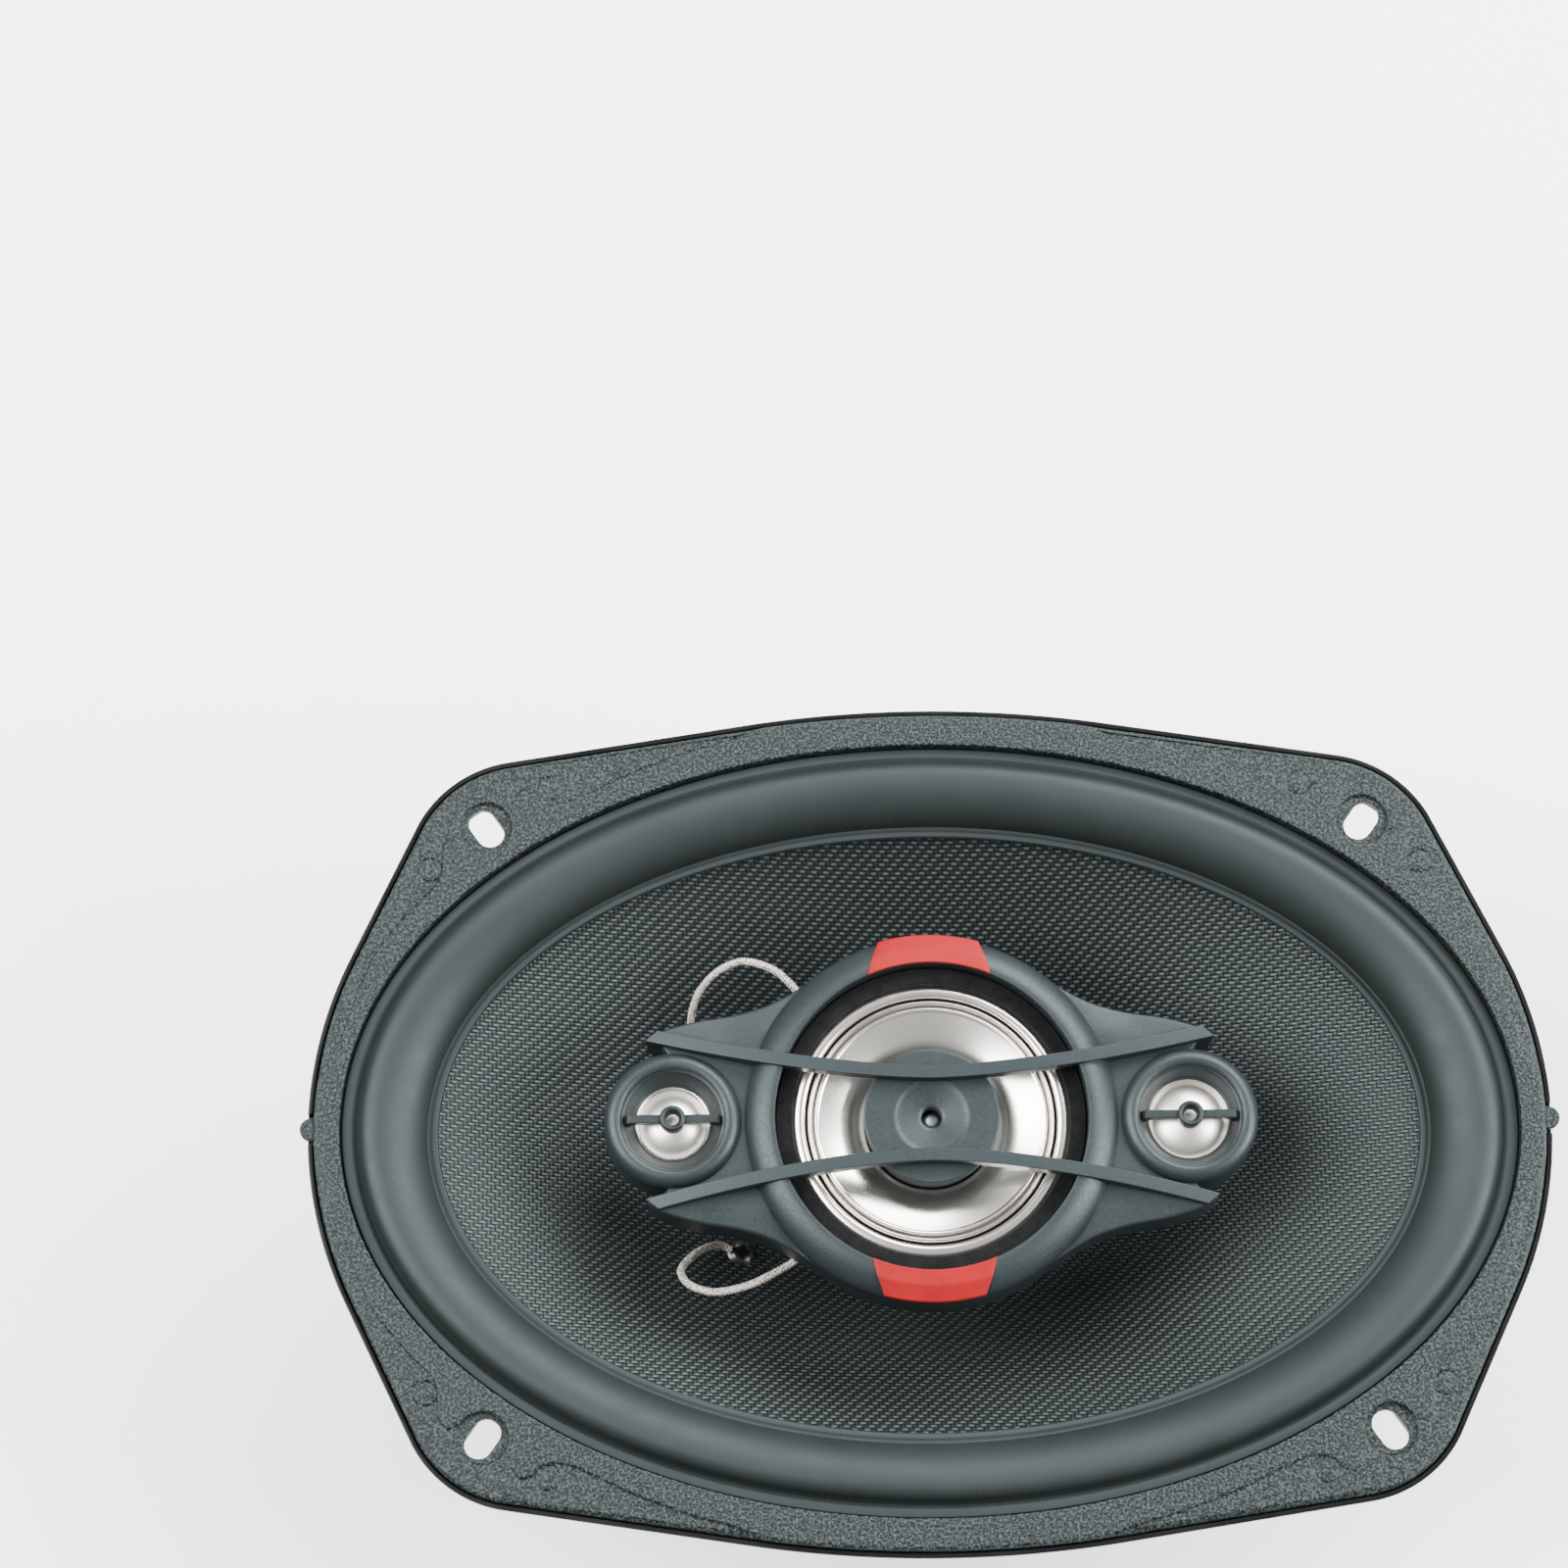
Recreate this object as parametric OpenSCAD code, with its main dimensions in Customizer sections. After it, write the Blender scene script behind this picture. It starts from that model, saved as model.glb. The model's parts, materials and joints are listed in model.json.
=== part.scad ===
// Coaxial car speaker: an oval woofer with a bridge over its cone that carries
// a midrange driver and two tweeters. Millimetres. The origin is the centre of
// the flange's rear face, +Z comes out of the front, +X is the long axis.

/* [Flange] */
// Length of the flange
flange_length = 236; // [234:1:238]
// Width of the flange
flange_width = 164; // [163:1:166]
// Thickness of the pressed steel
sheet = 1.2; // [1:0.1:1.4]
// Height of the upturned lip above the rear face
lip_height = 2.8; // [2.4:0.1:3.2]
// Distance between screw slots along the length
slot_spacing_x = 169; // [168:0.5:170]
// Distance between screw slots along the width
slot_spacing_y = 118; // [117:0.5:119]
// Width of a screw slot
slot_width = 5.4; // [5:0.1:5.8]
// Length of a screw slot from end to end
slot_length = 8; // [7.5:0.1:8.5]
// Direction of the slots from the long axis
slot_angle = 55; // [50:1:60]
// Height of the trim ring's face above the rear face
trim_top = 4; // [3.6:0.1:4.4]

/* [Cone] */
// Height of the half roll of the surround
roll_height = 5; // [4.5:0.1:5.5]
// Depth of the cone's neck below the rear face
neck_depth = 42; // [41:0.5:43]
// Thickness of the cone
cone_thickness = 0.8; // [0.7:0.1:0.9]
// Travel of the cone each way
cone_travel = 4.5; // [3:0.5:4.5]

/* [Bridge] */
// Outer radius of the ring round the midrange
ring_outer = 35.3; // [35.2:0.1:35.4]
// Inner radius of the ring round the midrange
ring_inner = 29.5; // [29.4:0.1:29.6]
// Height of the ring's crest
ring_top = 10.6; // [10.4:0.1:10.8]
// Distance of a tweeter from the middle
pod_x = 48.8; // [48.7:0.1:48.9]
// Outer radius of a tweeter pod
pod_radius = 13; // [12.9:0.1:13.1]
// Height of the blades' crest over the middle
blade_top = 12.4; // [12:0.1:12.8]
// Width of a blade
blade_width = 2.5; // [2.2:0.1:2.8]

/* [Motor] */
// Outer radius of the ferrite ring
magnet_radius = 50; // [48:1:51]
// Radius of the steel plates
plate_radius = 45; // [44:1:46]
// Radius of the voice coil former's bore
former_bore = 19.2; // [19.1:0.1:19.3]

/* [Hidden] */
$fn = 64;

// Flange outline: end, corner and side arcs joined by their common tangents.
end_radius = 77;
corner_radius = 23.6;
side_radius = 230;
end_x = flange_length / 2 - end_radius;
corner = [flange_length / 2 - 41.2, flange_width / 2 - 33];
side_y = flange_width / 2 - side_radius;
to_corner = corner - [end_x, 0];
to_side = corner - [0, side_y];
end_angle = atan2(to_corner[1], to_corner[0])
    - acos((end_radius - corner_radius) / norm(to_corner));
side_angle = atan2(to_side[1], to_side[0])
    + acos((side_radius - corner_radius) / norm(to_side));
lip_thickness = 0.9;
trim_inset = 1.2;
notch_width = 5.7;
nub_width = 4.4;
nub_reach = 1.5;
trim_hole = [111.9, 74.7];
counterbore_radius = 4.9;
counterbore_floor = 2.9;

// Oval sections: half length, half width and height of each ring of points.
oval_steps = 72;
groove = [108.4, 71.5, 1.8];
cone_rim = [95.6, 60, -3.6];
neck_outer = 19.6;
glue_gap = 0.3;
wall_path = [[108.6, 71.8, 0.6], [107.4, 70.6, -3], [104.6, 67.8, -12], [57.6, 57.6, -44],
    [57, 57, -46.6]];

// Basket floor levels, from the rear face down.
ledge_z = -46;
cup_floor = -56;
cup_radius = 51;
ledge_radius = 57.4;
leg_width = 13;
window_top = -8;
window_bottom = -41;
ear = [18, 22];

// Motor levels, from the cup floor down.
plate_thickness = 5;
magnet_thickness = 18;
magnet_top = cup_floor - plate_thickness;
yoke_top = magnet_top - magnet_thickness;
back_face = yoke_top - plate_thickness;
former_wall = 0.4;
former_outer = former_bore + former_wall;
winding_outer = former_outer + 0.7;
coil_bottom = cup_floor - 10;
pole_radius = former_bore - 0.6;
gap_radius = winding_outer + 0.7;
post_radius = 5;
post_bottom = back_face + 6;
screw_head = 6;
screw_core = 2.4;

// Terminals on the ear at the -X end.
board = [18, 26, 1.6];
board_x = -77;
tab_thickness = 0.8;
tab_x = -87;
positive_tab = [23, 6.35];
negative_tab = [23, 4.75];
positive_y = 6;
negative_y = -6.5;
rivet_y = -0.6;
rivet_places = [-64, -72];
rivet_radius = 1.5;

// Leads.
lead_radius = 0.7;
lead_sides = 8;
eyelet = [36.2, 18.5, -28.6];
front_upper_route = [[-38.2, 18.6, -26.2], [-42, 18.8, -24], [-45.3, 20.3, -19],
    [-45.5, 24.3, -14], [-44.2, 28.5, -10], [-41.2, 31.7, -7], [-38, 33.4, -5.5],
    [-34.8, 33.9, -4.5], [-30.4, 32.6, -4.2], [-27.4, 30.6, -4.4], [-24.6, 27.6, -4.8],
    [-22.4, 24.6, -3.4]];
front_lower_route = [[-38.2, -18.2, -26.2], [-40.6, -17.6, -24.4], [-44, -20, -18],
    [-46.8, -23.4, -12.4], [-47.6, -26, -9], [-45.8, -28.8, -6.5], [-41.4, -30.4, -5],
    [-35.7, -29.6, -4.4], [-30.9, -27.6, -4.4], [-27.4, -25.6, -4.8], [-23.8, -23.4, -3.4]];
rear_positive_route = [[-66.5, 7.6, -43.1], [-66.8, 9.4, -41.8], [-65, 12, -39.4],
    [-61.4, 14.6, -37.2], [-57, 16.6, -36], [-51, 18.4, -35.2], [-45.6, 19.4, -34.2],
    [-41, 19.6, -32.8]];
rear_negative_route = [for (p = rear_positive_route) [p[0], -p[1], p[2]]];

// Bridge levels.
wing_top = 6.5;
bridge_floor = -2;
cover_thickness = 1.6;
cover_bottom = bridge_floor - cover_thickness;
skirt = 1.7;
roof = 2;
mid_ledge = 3.4;
basket_bore = 25.3;
pod_top = 9.3;
pod_lip = 9.8;
bezel_radius = 12;
bezel_top = 7.8;
bezel_bottom = 4.5;
cup_wall = 11.5;
cup_bottom = -8;
cup_rim = 3;
screw_places = [[36, 16], [-36, 16], [36, -16], [-36, -16]];
boss_radius = 2.8;
cover_screw_radius = 1.3;
inset_inner_angle = 23.2;
inset_outer_angle = 15.6;
blade_reach = 53.6;
blade_thickness = 3;
blade_steps = 28;

// Midrange levels.
mid_flange = 1.4;
mid_gasket_bottom = mid_ledge + mid_flange + 0.4;
mid_gasket_top = 6.8;
mid_edge = 26.3;
mid_cone_radius = 21.4;
mid_neck = 13.25;
mid_basket_bottom = -17.2;
mid_plate_top = -2.5;
mid_magnet_top = -5.5;
mid_yoke_top = -13;
mid_pole_radius = 12.5;
mid_gap_radius = 14.3;
mid_motor_radius = 22;
plug_head = 12.8;
plug_top = 9.2;
plug_stem = 2.5;

// Tweeter dome radii.
left_dome_radius = 6;
right_dome_radius = 7.2;
dome_base = 3.6;
dome_rise = 2.5;
dome_skin = 0.3;

function polar(radius, angle) = radius * [cos(angle), sin(angle)];

function arc_points(centre, radius, from, to, steps) =
    [for (i = [0:steps]) centre + polar(radius, from + (to - from) * i / steps)];

function bezier(a, b, c, d, steps) =
    [for (i = [0:steps]) let (t = i / steps, s = 1 - t)
        s * s * s * a + 3 * s * s * t * b + 3 * s * t * t * c + t * t * t * d];

// Closed outline from its first quadrant, which runs from the X axis to the Y axis.
function four_way(q) = let (n = len(q)) concat(q,
    [for (i = [n - 2:-1:0]) [-q[i][0], q[i][1]]],
    [for (i = [1:n - 1]) [-q[i][0], -q[i][1]]],
    [for (i = [n - 2:-1:1]) [q[i][0], -q[i][1]]]);

function flange_outline(inset) = four_way(concat(
    arc_points([end_x, 0], end_radius - inset, 0, end_angle, 6),
    arc_points(corner, corner_radius - inset, end_angle, side_angle, 10),
    arc_points([0, side_y], side_radius - inset, side_angle, 90, 4)));

function oval(a, b) =
    [for (i = [0:oval_steps - 1]) [a * cos(360 * i / oval_steps), b * sin(360 * i / oval_steps)]];

// Every point of a closed outline moved to its left by a distance.
function moved_in(p, distance) = let (n = len(p))
    [for (i = [0:n - 1]) let (t = p[(i + 1) % n] - p[(i + n - 1) % n])
        p[i] + distance * [-t[1], t[0]] / norm(t)];

function mix(a, b, t) = a + (b - a) * t;

// A ring whose section changes from oval to oval: points are half length, half width, height.
module oval_ring(section) {
    rows = len(section);
    points = [for (i = [0:oval_steps - 1]) for (p = section)
        [p[0] * cos(360 * i / oval_steps), p[1] * sin(360 * i / oval_steps), p[2]]];
    faces = [for (i = [0:oval_steps - 1]) for (j = [0:rows - 1])
        let (near = i * rows, far = ((i + 1) % oval_steps) * rows, k = (j + 1) % rows)
        each [[near + j, near + k, far + k], [near + j, far + k, far + j]]];
    polyhedron(points, faces);
}

module tube(outer, inner, bottom, top) {
    rotate_extrude() polygon([[inner, bottom], [outer, bottom], [outer, top], [inner, top]]);
}

module rod(radius, bottom, top) {
    translate([0, 0, bottom]) cylinder(r = radius, h = top - bottom);
}

module plate(outline, bottom, top) {
    translate([0, 0, bottom]) linear_extrude(top - bottom) polygon(outline);
}

module slot(angle, bottom, top) {
    reach = (slot_length - slot_width) / 2;
    rotate(angle) union() {
        translate([reach, 0, 0]) rod(slot_width / 2, bottom, top);
        translate([-reach, 0, 0]) rod(slot_width / 2, bottom, top);
        translate([-reach, -slot_width / 2, bottom]) cube([2 * reach, slot_width, top - bottom]);
    }
}

// A round lead along a route.
module lead(route) {
    last = len(route) - 1;
    rings = [for (i = [0:last])
        let (ahead = route[min(i + 1, last)] - route[max(i - 1, 0)],
            along = ahead / norm(ahead),
            side = cross(along, [0.3, 0.2, 1]),
            across = side / norm(side),
            up = cross(across, along))
        [for (k = [0:lead_sides - 1]) route[i]
            + lead_radius * (cos(360 * k / lead_sides) * across + sin(360 * k / lead_sides) * up)]];
    points = [for (r = rings) each r];
    walls = [for (i = [0:last - 1]) for (k = [0:lead_sides - 1])
        let (a = i * lead_sides, b = a + lead_sides, m = (k + 1) % lead_sides)
        each [[a + k, b + k, b + m], [a + k, b + m, a + m]]];
    start = [for (k = [0:lead_sides - 1]) k];
    finish = [for (k = [lead_sides - 1:-1:0]) last * lead_sides + k];
    polyhedron(points, concat(walls, [start, finish]));
}

// Basket.
module basket_windows() {
    legs = 8;
    for (i = [0:legs - 1]) {
        a = 360 * i / legs;
        b = 360 * (i + 1) / legs;
        near_a = polar(46, a);
        near_b = polar(46, b);
        far_a = [120 * cos(a), 82 * sin(a)];
        far_b = [120 * cos(b), 82 * sin(b)];
        along_a = (far_a - near_a) / norm(far_a - near_a);
        along_b = (far_b - near_b) / norm(far_b - near_b);
        half_a = leg_width / 2 * [-along_a[1], along_a[0]];
        half_b = leg_width / 2 * [-along_b[1], along_b[0]];
        corner_far = 1.2 * [120 * cos((a + b) / 2), 82 * sin((a + b) / 2)];
        plate([near_a + half_a, far_a + half_a, corner_far, far_b - half_b, near_b - half_b],
            window_bottom, window_top);
    }
}

module basket() {
    color("dimgray") difference() {
        union() {
            plate(flange_outline(0), 0, sheet);
            difference() {
                plate(flange_outline(0), 0, lip_height);
                plate(flange_outline(lip_thickness), -1, lip_height + 1);
                for (x = [-1, 1])
                    translate([x * flange_length / 2 - 3, -notch_width / 2, sheet])
                        cube([6, notch_width, lip_height]);
            }
            difference() {
                oval_ring(concat([for (i = [len(wall_path) - 1:-1:0]) wall_path[i]],
                    [for (i = [0:len(wall_path) - 1])
                        wall_path[i] + [-sheet, -sheet, i == 0 || i > 3 ? 0 : 0.6]]));
                basket_windows();
            }
            rotate_extrude() polygon([[24, cup_floor], [cup_radius, cup_floor],
                [cup_radius, ledge_z - sheet], [ledge_radius, ledge_z - sheet],
                [ledge_radius, ledge_z], [cup_radius - sheet, ledge_z],
                [cup_radius - sheet, cup_floor + sheet], [24, cup_floor + sheet]]);
            translate([-56 - ear[0], -ear[1] / 2, ledge_z - sheet]) cube([ear[0] + 1, ear[1], sheet]);
        }
        plate(oval(wall_path[0][0] - 1.1, wall_path[0][1] - 1.1), -0.2, sheet + 1);
        for (x = [-1, 1], y = [-1, 1])
            translate([x * slot_spacing_x / 2, y * slot_spacing_y / 2, 0])
                slot(x * y * slot_angle, -1, lip_height);
        for (x = rivet_places) translate([x, rivet_y, 0]) rod(rivet_radius, ledge_z - 3, ledge_z + 1);
    }
}

module trim_ring() {
    color("darkslategray") difference() {
        union() {
            plate(flange_outline(trim_inset), sheet, trim_top);
            for (x = [-1, 1])
                translate([x * (flange_length / 2 - 1.5), 0, sheet]) union() {
                    translate([-2, -nub_width / 2, 0]) cube([4, nub_width, 1.9]);
                    translate([x * (1.5 + nub_reach - nub_width / 2), 0, 0]) rod(nub_width / 2, 0, 1.9);
                }
        }
        plate(oval(trim_hole[0], trim_hole[1]), 0, trim_top + 1);
        for (x = [-1, 1], y = [-1, 1])
            translate([x * slot_spacing_x / 2, y * slot_spacing_y / 2, 0]) union() {
                slot(x * y * slot_angle, 0, trim_top + 1);
                rod(counterbore_radius, counterbore_floor, trim_top + 1);
            }
    }
}

// Cone assembly.
function roll(height, margin) = [for (i = [0:10])
    let (a = 18 * i, t = margin + (1 - 2 * margin) * (1 - cos(a)) / 2)
        [mix(groove[0], cone_rim[0], t), mix(groove[1], cone_rim[1], t),
            mix(groove[2], cone_rim[2] + 1, t) + height * sin(a)]];

module surround() {
    rubber = 0.8;
    flap = [93.6, 58, -2.6];
    color("dimgray") oval_ring(concat([[111.6, 74.4, 2]], [[groove[0] + 0.4, groove[1] + 0.4, 2]],
        roll(roll_height, 0), [flap, flap - [0, 0, 0.7]],
        [for (i = [10:-1:0]) roll(roll_height - rubber, 0.06)[i] - [0, 0, i == 10 ? 0.6 : 0]],
        [[groove[0], groove[1], sheet], [111.6, 74.4, sheet]]));
}

function cone_path(lift) = [for (i = [0:8]) let (t = 1 - i / 8)
    [mix(neck_outer, cone_rim[0], t), mix(neck_outer, cone_rim[1], t),
        mix(-neck_depth, cone_rim[2], pow(t, 0.92)) + lift]];

module cone() {
    top = cone_path(0);
    under = cone_path(-cone_thickness);
    color("#1c1f20") oval_ring(concat(top, [for (i = [8:-1:0]) under[i]]));
}

module spider() {
    waves = 5;
    inner = former_outer + glue_gap;
    cloth = 0.6;
    middle = ledge_z + 0.6;
    steps = 40;
    top = [for (i = [0:steps]) [mix(inner + 1, 49.5, i / steps),
        middle + 1.1 * sin(360 * waves * i / steps)]];
    profile = concat([[inner, middle + 1.2], [inner, middle - cloth]],
        [for (p = top) [p[0], p[1] - cloth]], [[55.5, ledge_z], [55.5, middle]],
        [for (i = [steps:-1:0]) top[i]]);
    color("goldenrod") rotate_extrude() polygon(profile);
}

module voice_coil_former() {
    color("silver") tube(former_outer, former_bore, coil_bottom, -neck_depth + 1.6);
}

module voice_coil_winding() {
    color("peru") tube(winding_outer, former_outer, coil_bottom, cup_floor - 1);
}

module lead_eyelets() {
    color("#111314") for (y = [-1, 1])
        translate([-eyelet[0], y * eyelet[1], eyelet[2]]) rotate([0, 28, y * -27]) union() {
            rod(2.4, -2.4, 1.4);
            rod(1.6, 1.4, 1.9);
        }
}

// Motor.
module top_plate() { color("gray") tube(plate_radius, gap_radius, magnet_top, cup_floor); }

module magnet() { color("#3a3c3e") tube(magnet_radius, 22.5, yoke_top, magnet_top); }

module yoke() {
    color("gray") difference() {
        union() {
            rod(plate_radius, back_face, yoke_top);
            rod(pole_radius, yoke_top, cup_floor);
        }
        rod(post_radius, post_bottom - 2, cup_floor + 1);
        rod(screw_head + 0.4, back_face - 1, post_bottom - 2);
    }
}

module bridge_post() {
    color("silver") difference() {
        rod(post_radius, post_bottom - 2, mid_basket_bottom);
        rod(screw_core, post_bottom - 3, post_bottom + 12);
    }
}

module post_screw() {
    color("silver") difference() {
        union() {
            rod(screw_head, back_face + 0.4, post_bottom - 2);
            rod(screw_core, post_bottom - 2, post_bottom + 11);
        }
        for (a = [0, 90]) rotate(a) translate([-3.5, -0.6, back_face]) cube([7, 1.2, 2]);
    }
}

// Terminals.
module terminal_board() {
    color("saddlebrown") difference() {
        translate([board_x, -board[1] / 2, ledge_z]) cube(board);
        for (x = rivet_places) translate([x, rivet_y, 0]) rod(rivet_radius, ledge_z - 1, ledge_z + 3);
    }
}

module tab(size, y) {
    color("gold") difference() {
        translate([tab_x, y - size[1] / 2, ledge_z + board[2]]) cube([size[0], size[1], tab_thickness]);
        translate([tab_x + 3.5, y, 0]) rod(0.9, ledge_z, ledge_z + 4);
    }
}

module terminal_positive() { tab(positive_tab, positive_y); }

module terminal_negative() { tab(negative_tab, negative_y); }

module terminal_rivets() {
    color("silver") for (x = rivet_places) translate([x, rivet_y, 0]) union() {
        rod(rivet_radius, ledge_z - sheet, ledge_z + board[2]);
        rod(2.2, ledge_z + board[2], ledge_z + board[2] + 0.7);
        rod(2.2, ledge_z - sheet - 0.7, ledge_z - sheet);
    }
}

module rear_lead_positive() { color("lightgray") lead(rear_positive_route); }

module rear_lead_negative() { color("lightgray") lead(rear_negative_route); }

module front_lead_upper() { color("lightgray") lead(front_upper_route); }

module front_lead_lower() { color("lightgray") lead(front_lower_route); }

// Bridge.
bridge_quadrant = concat(
    arc_points([pod_x, 0], pod_radius - 0.4, 0, 92, 14),
    [[53.4, 14.3], [53.8, 15.4]],
    bezier([51.8, 17.3], [48.5, 18.9], [45, 19.2], [39.1, 20.2], 6),
    bezier([38, 20.4], [32, 21.4], [27, 24], [17.2, 30.7], 8),
    arc_points([0, 0], ring_outer - 0.4, 61.9, 90, 8));
bridge_outline = four_way(bridge_quadrant);
// The hollow under the roof keeps a wall inside the outline and stops short of the tips.
cavity_quadrant = concat([[47.5, 0], [47.5, 15.8], [45.6, 17.1]],
    bezier([39.1, 20.2 - skirt], [32, 21.4 - skirt], [26.6, 24 - skirt], [17.2, 30 - skirt], 8),
    [[0, 30 - skirt]]);

// Half angle of a red inset at a radius.
function inset_angle(radius) = mix(inset_inner_angle, inset_outer_angle,
    (radius - ring_inner) / (ring_outer - ring_inner));

function inset_outline(from, to) = concat(
    arc_points([0, 0], to, 90 - inset_angle(to), 90 + inset_angle(to), 8),
    arc_points([0, 0], from, 90 + inset_angle(from), 90 - inset_angle(from), 8));

// The ring and a pod as turned sections, so that their bores stay round.
// The ring rises in a quarter ellipse from its outer edge to a crest at its bore.
module bridge_ring() {
    shoulder = 7.8;
    crest = ring_inner + 0.9;
    rotate_extrude() polygon(concat(
        [[basket_bore, bridge_floor], [ring_outer, bridge_floor]],
        [for (a = [0:15:90])
            [crest, shoulder] + [(ring_outer - crest) * cos(a), (ring_top - shoulder) * sin(a)]],
        [[ring_inner + 0.4, ring_top], [ring_inner, ring_top - 0.4]],
        [[ring_inner, mid_ledge], [basket_bore, mid_ledge]]));
}

module pod() {
    rotate_extrude() polygon([[bezel_radius, bridge_floor], [pod_radius, bridge_floor],
        [pod_radius, pod_top - 1.4], [pod_radius - 0.7, pod_top - 0.4], [pod_radius - 1.8, pod_top],
        [pod_lip + 0.4, pod_top], [pod_lip, pod_top - 0.4], [pod_lip, bezel_top],
        [bezel_radius, bezel_top]]);
}

module bridge_housing() {
    overlap = 0.2;
    color("slategray") difference() {
        union() {
            difference() {
                union() {
                    plate(bridge_outline, wing_top - roof, wing_top);
                    difference() {
                        plate(bridge_outline, bridge_floor, wing_top - roof / 2);
                        plate(four_way(cavity_quadrant), bridge_floor - 1, wing_top);
                    }
                }
                rod(ring_outer - overlap, bridge_floor - 1, wing_top + 1);
                for (x = [-1, 1])
                    translate([x * pod_x, 0, 0])
                        rod(pod_radius - overlap, bridge_floor - 1, wing_top + 1);
            }
            bridge_ring();
            for (x = [-1, 1]) translate([x * pod_x, 0, 0]) pod();
            for (p = screw_places) translate(p) rod(boss_radius, bridge_floor, wing_top - roof / 2);
        }
        for (p = screw_places) translate(p) rod(cover_screw_radius, bridge_floor - 1, wing_top - roof);
        for (a = [0, 180]) rotate(a)
            plate(inset_outline(ring_inner - 0.6, ring_outer + 1), mid_gasket_top, ring_top + 1);
    }
}

module bridge_cover() {
    color("#22262a") difference() {
        plate(moved_in(bridge_outline, 0.5), cover_bottom, bridge_floor);
        rod(basket_bore, cover_bottom - 1, bridge_floor + 1);
        for (x = [-1, 1]) translate([x * pod_x, 0, 0])
            rod(cup_wall + 0.3, cover_bottom - 1, bridge_floor + 1);
        for (p = screw_places) translate(p) rod(cover_screw_radius, cover_bottom - 1, bridge_floor + 1);
    }
}

module bridge_screws() {
    color("silver") for (p = screw_places) translate(p) difference() {
        union() {
            rod(cover_screw_radius, cover_bottom, 3.5);
            rod(2.4, cover_bottom - 1.5, cover_bottom);
        }
        for (a = [0, 90]) rotate(a) translate([-1.6, -0.3, cover_bottom - 2]) cube([3.2, 0.6, 1.3]);
    }
}

// Each blade is a bar that bows towards the middle and falls towards its tips.
function blade_y(x) = 7.9 + 2.95 * pow(abs(x) / 28, 1.63);
function blade_z(x) = blade_top - 3.7 * pow(x / blade_reach, 2);

module blade() {
    stations = [for (i = [0:blade_steps]) blade_reach * (2 * i / blade_steps - 1)];
    half = blade_width / 2;
    points = [for (x = stations) let (y = blade_y(x), z = blade_z(x))
        each [[x, y - half, z - blade_thickness], [x, y + half, z - blade_thickness],
            [x, y + half, z - 0.4], [x, y, z], [x, y - half, z - 0.4]]];
    last = blade_steps * 5;
    walls = [for (i = [0:blade_steps - 1]) for (k = [0:4]) let (a = i * 5, m = (k + 1) % 5)
        each [[a + k, a + m, a + 5 + m], [a + k, a + 5 + m, a + 5 + k]]];
    polyhedron(points, concat(walls, [[4, 3, 2, 1, 0], [last, last + 1, last + 2, last + 3, last + 4]]));
}

module blade_upper() { color("#4a5358") blade(); }

module blade_lower() { color("#4a5358") mirror([0, 1, 0]) blade(); }

module red_inset() {
    color("crimson") intersection() {
        plate(inset_outline(ring_inner, ring_outer + 0.1), mid_gasket_top, ring_top + 0.1);
        rotate_extrude() polygon([[ring_inner, mid_gasket_top], [ring_outer + 0.1, mid_gasket_top],
            [ring_outer + 0.1, 8.6], [ring_outer - 0.3, 9], [32.6, ring_top - 0.4], [30, ring_top + 0.1],
            [ring_inner, ring_top - 0.3]]);
    }
}

module red_inset_upper() { red_inset(); }

module red_inset_lower() { rotate(180) red_inset(); }

module capacitor(x) {
    color("#2a2f45") translate([x, 0, cover_bottom - 3.6]) rotate([90, 0, 0]) union() {
        cylinder(r = 3.5, h = 14, center = true);
        cylinder(r = 0.5, h = 18, center = true);
    }
}

module capacitor_left() { capacitor(-30.5); }

module capacitor_right() { capacitor(30.5); }

// Midrange.
module mid_basket() {
    wall = 1.2;
    step = mid_ledge + 0.5;
    color("dimgray") rotate_extrude() polygon([[0, mid_basket_bottom], [23.8, mid_basket_bottom],
        [25, mid_ledge], [29.2, mid_ledge], [29.2, mid_ledge + mid_flange],
        [mid_edge + 0.3, mid_ledge + mid_flange], [mid_edge, step], [24.2, step],
        [22.6, mid_basket_bottom + wall], [0, mid_basket_bottom + wall]]);
}

module mid_gasket() {
    color("#16181a") tube(29.3, mid_edge, mid_gasket_bottom, mid_gasket_top);
}

module mid_surround() {
    foil = 0.3;
    top = [for (i = [0:24]) let (t = i / 24, height = mid_gasket_bottom - 0.1 + 0.45 * sin(720 * t))
        [mix(mid_cone_radius + glue_gap, mid_edge - 0.3, t), height]];
    color("lightgray") rotate_extrude() polygon(concat([for (p = top) [p[0], p[1] - foil]],
        [[29.2, mid_gasket_bottom - 0.4], [29.2, mid_gasket_bottom]],
        [for (i = [24:-1:0]) top[i]]));
}

module mid_cone() {
    foil = 0.4;
    top = [for (i = [0:12]) let (t = i / 12) [mix(mid_neck, mid_cone_radius, t),
        mix(1.6, mid_gasket_bottom - 0.1, pow(t, 0.55))]];
    color("silver") rotate_extrude() polygon(concat([for (p = top) [p[0], p[1] - foil]],
        [for (i = [12:-1:0]) top[i]]));
}

module mid_voice_coil() {
    color("peru") union() {
        tube(mid_neck, mid_neck - 0.25, -7.5, 1.8);
        tube(mid_neck + 0.55, mid_neck - 0.1, -7, -2);
    }
}

module mid_top_plate() {
    color("gray") tube(mid_motor_radius, mid_gap_radius, mid_magnet_top, mid_plate_top);
}

module mid_magnet() {
    color("#3a3c3e") tube(mid_motor_radius, 15.6, mid_yoke_top, mid_magnet_top);
}

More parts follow.
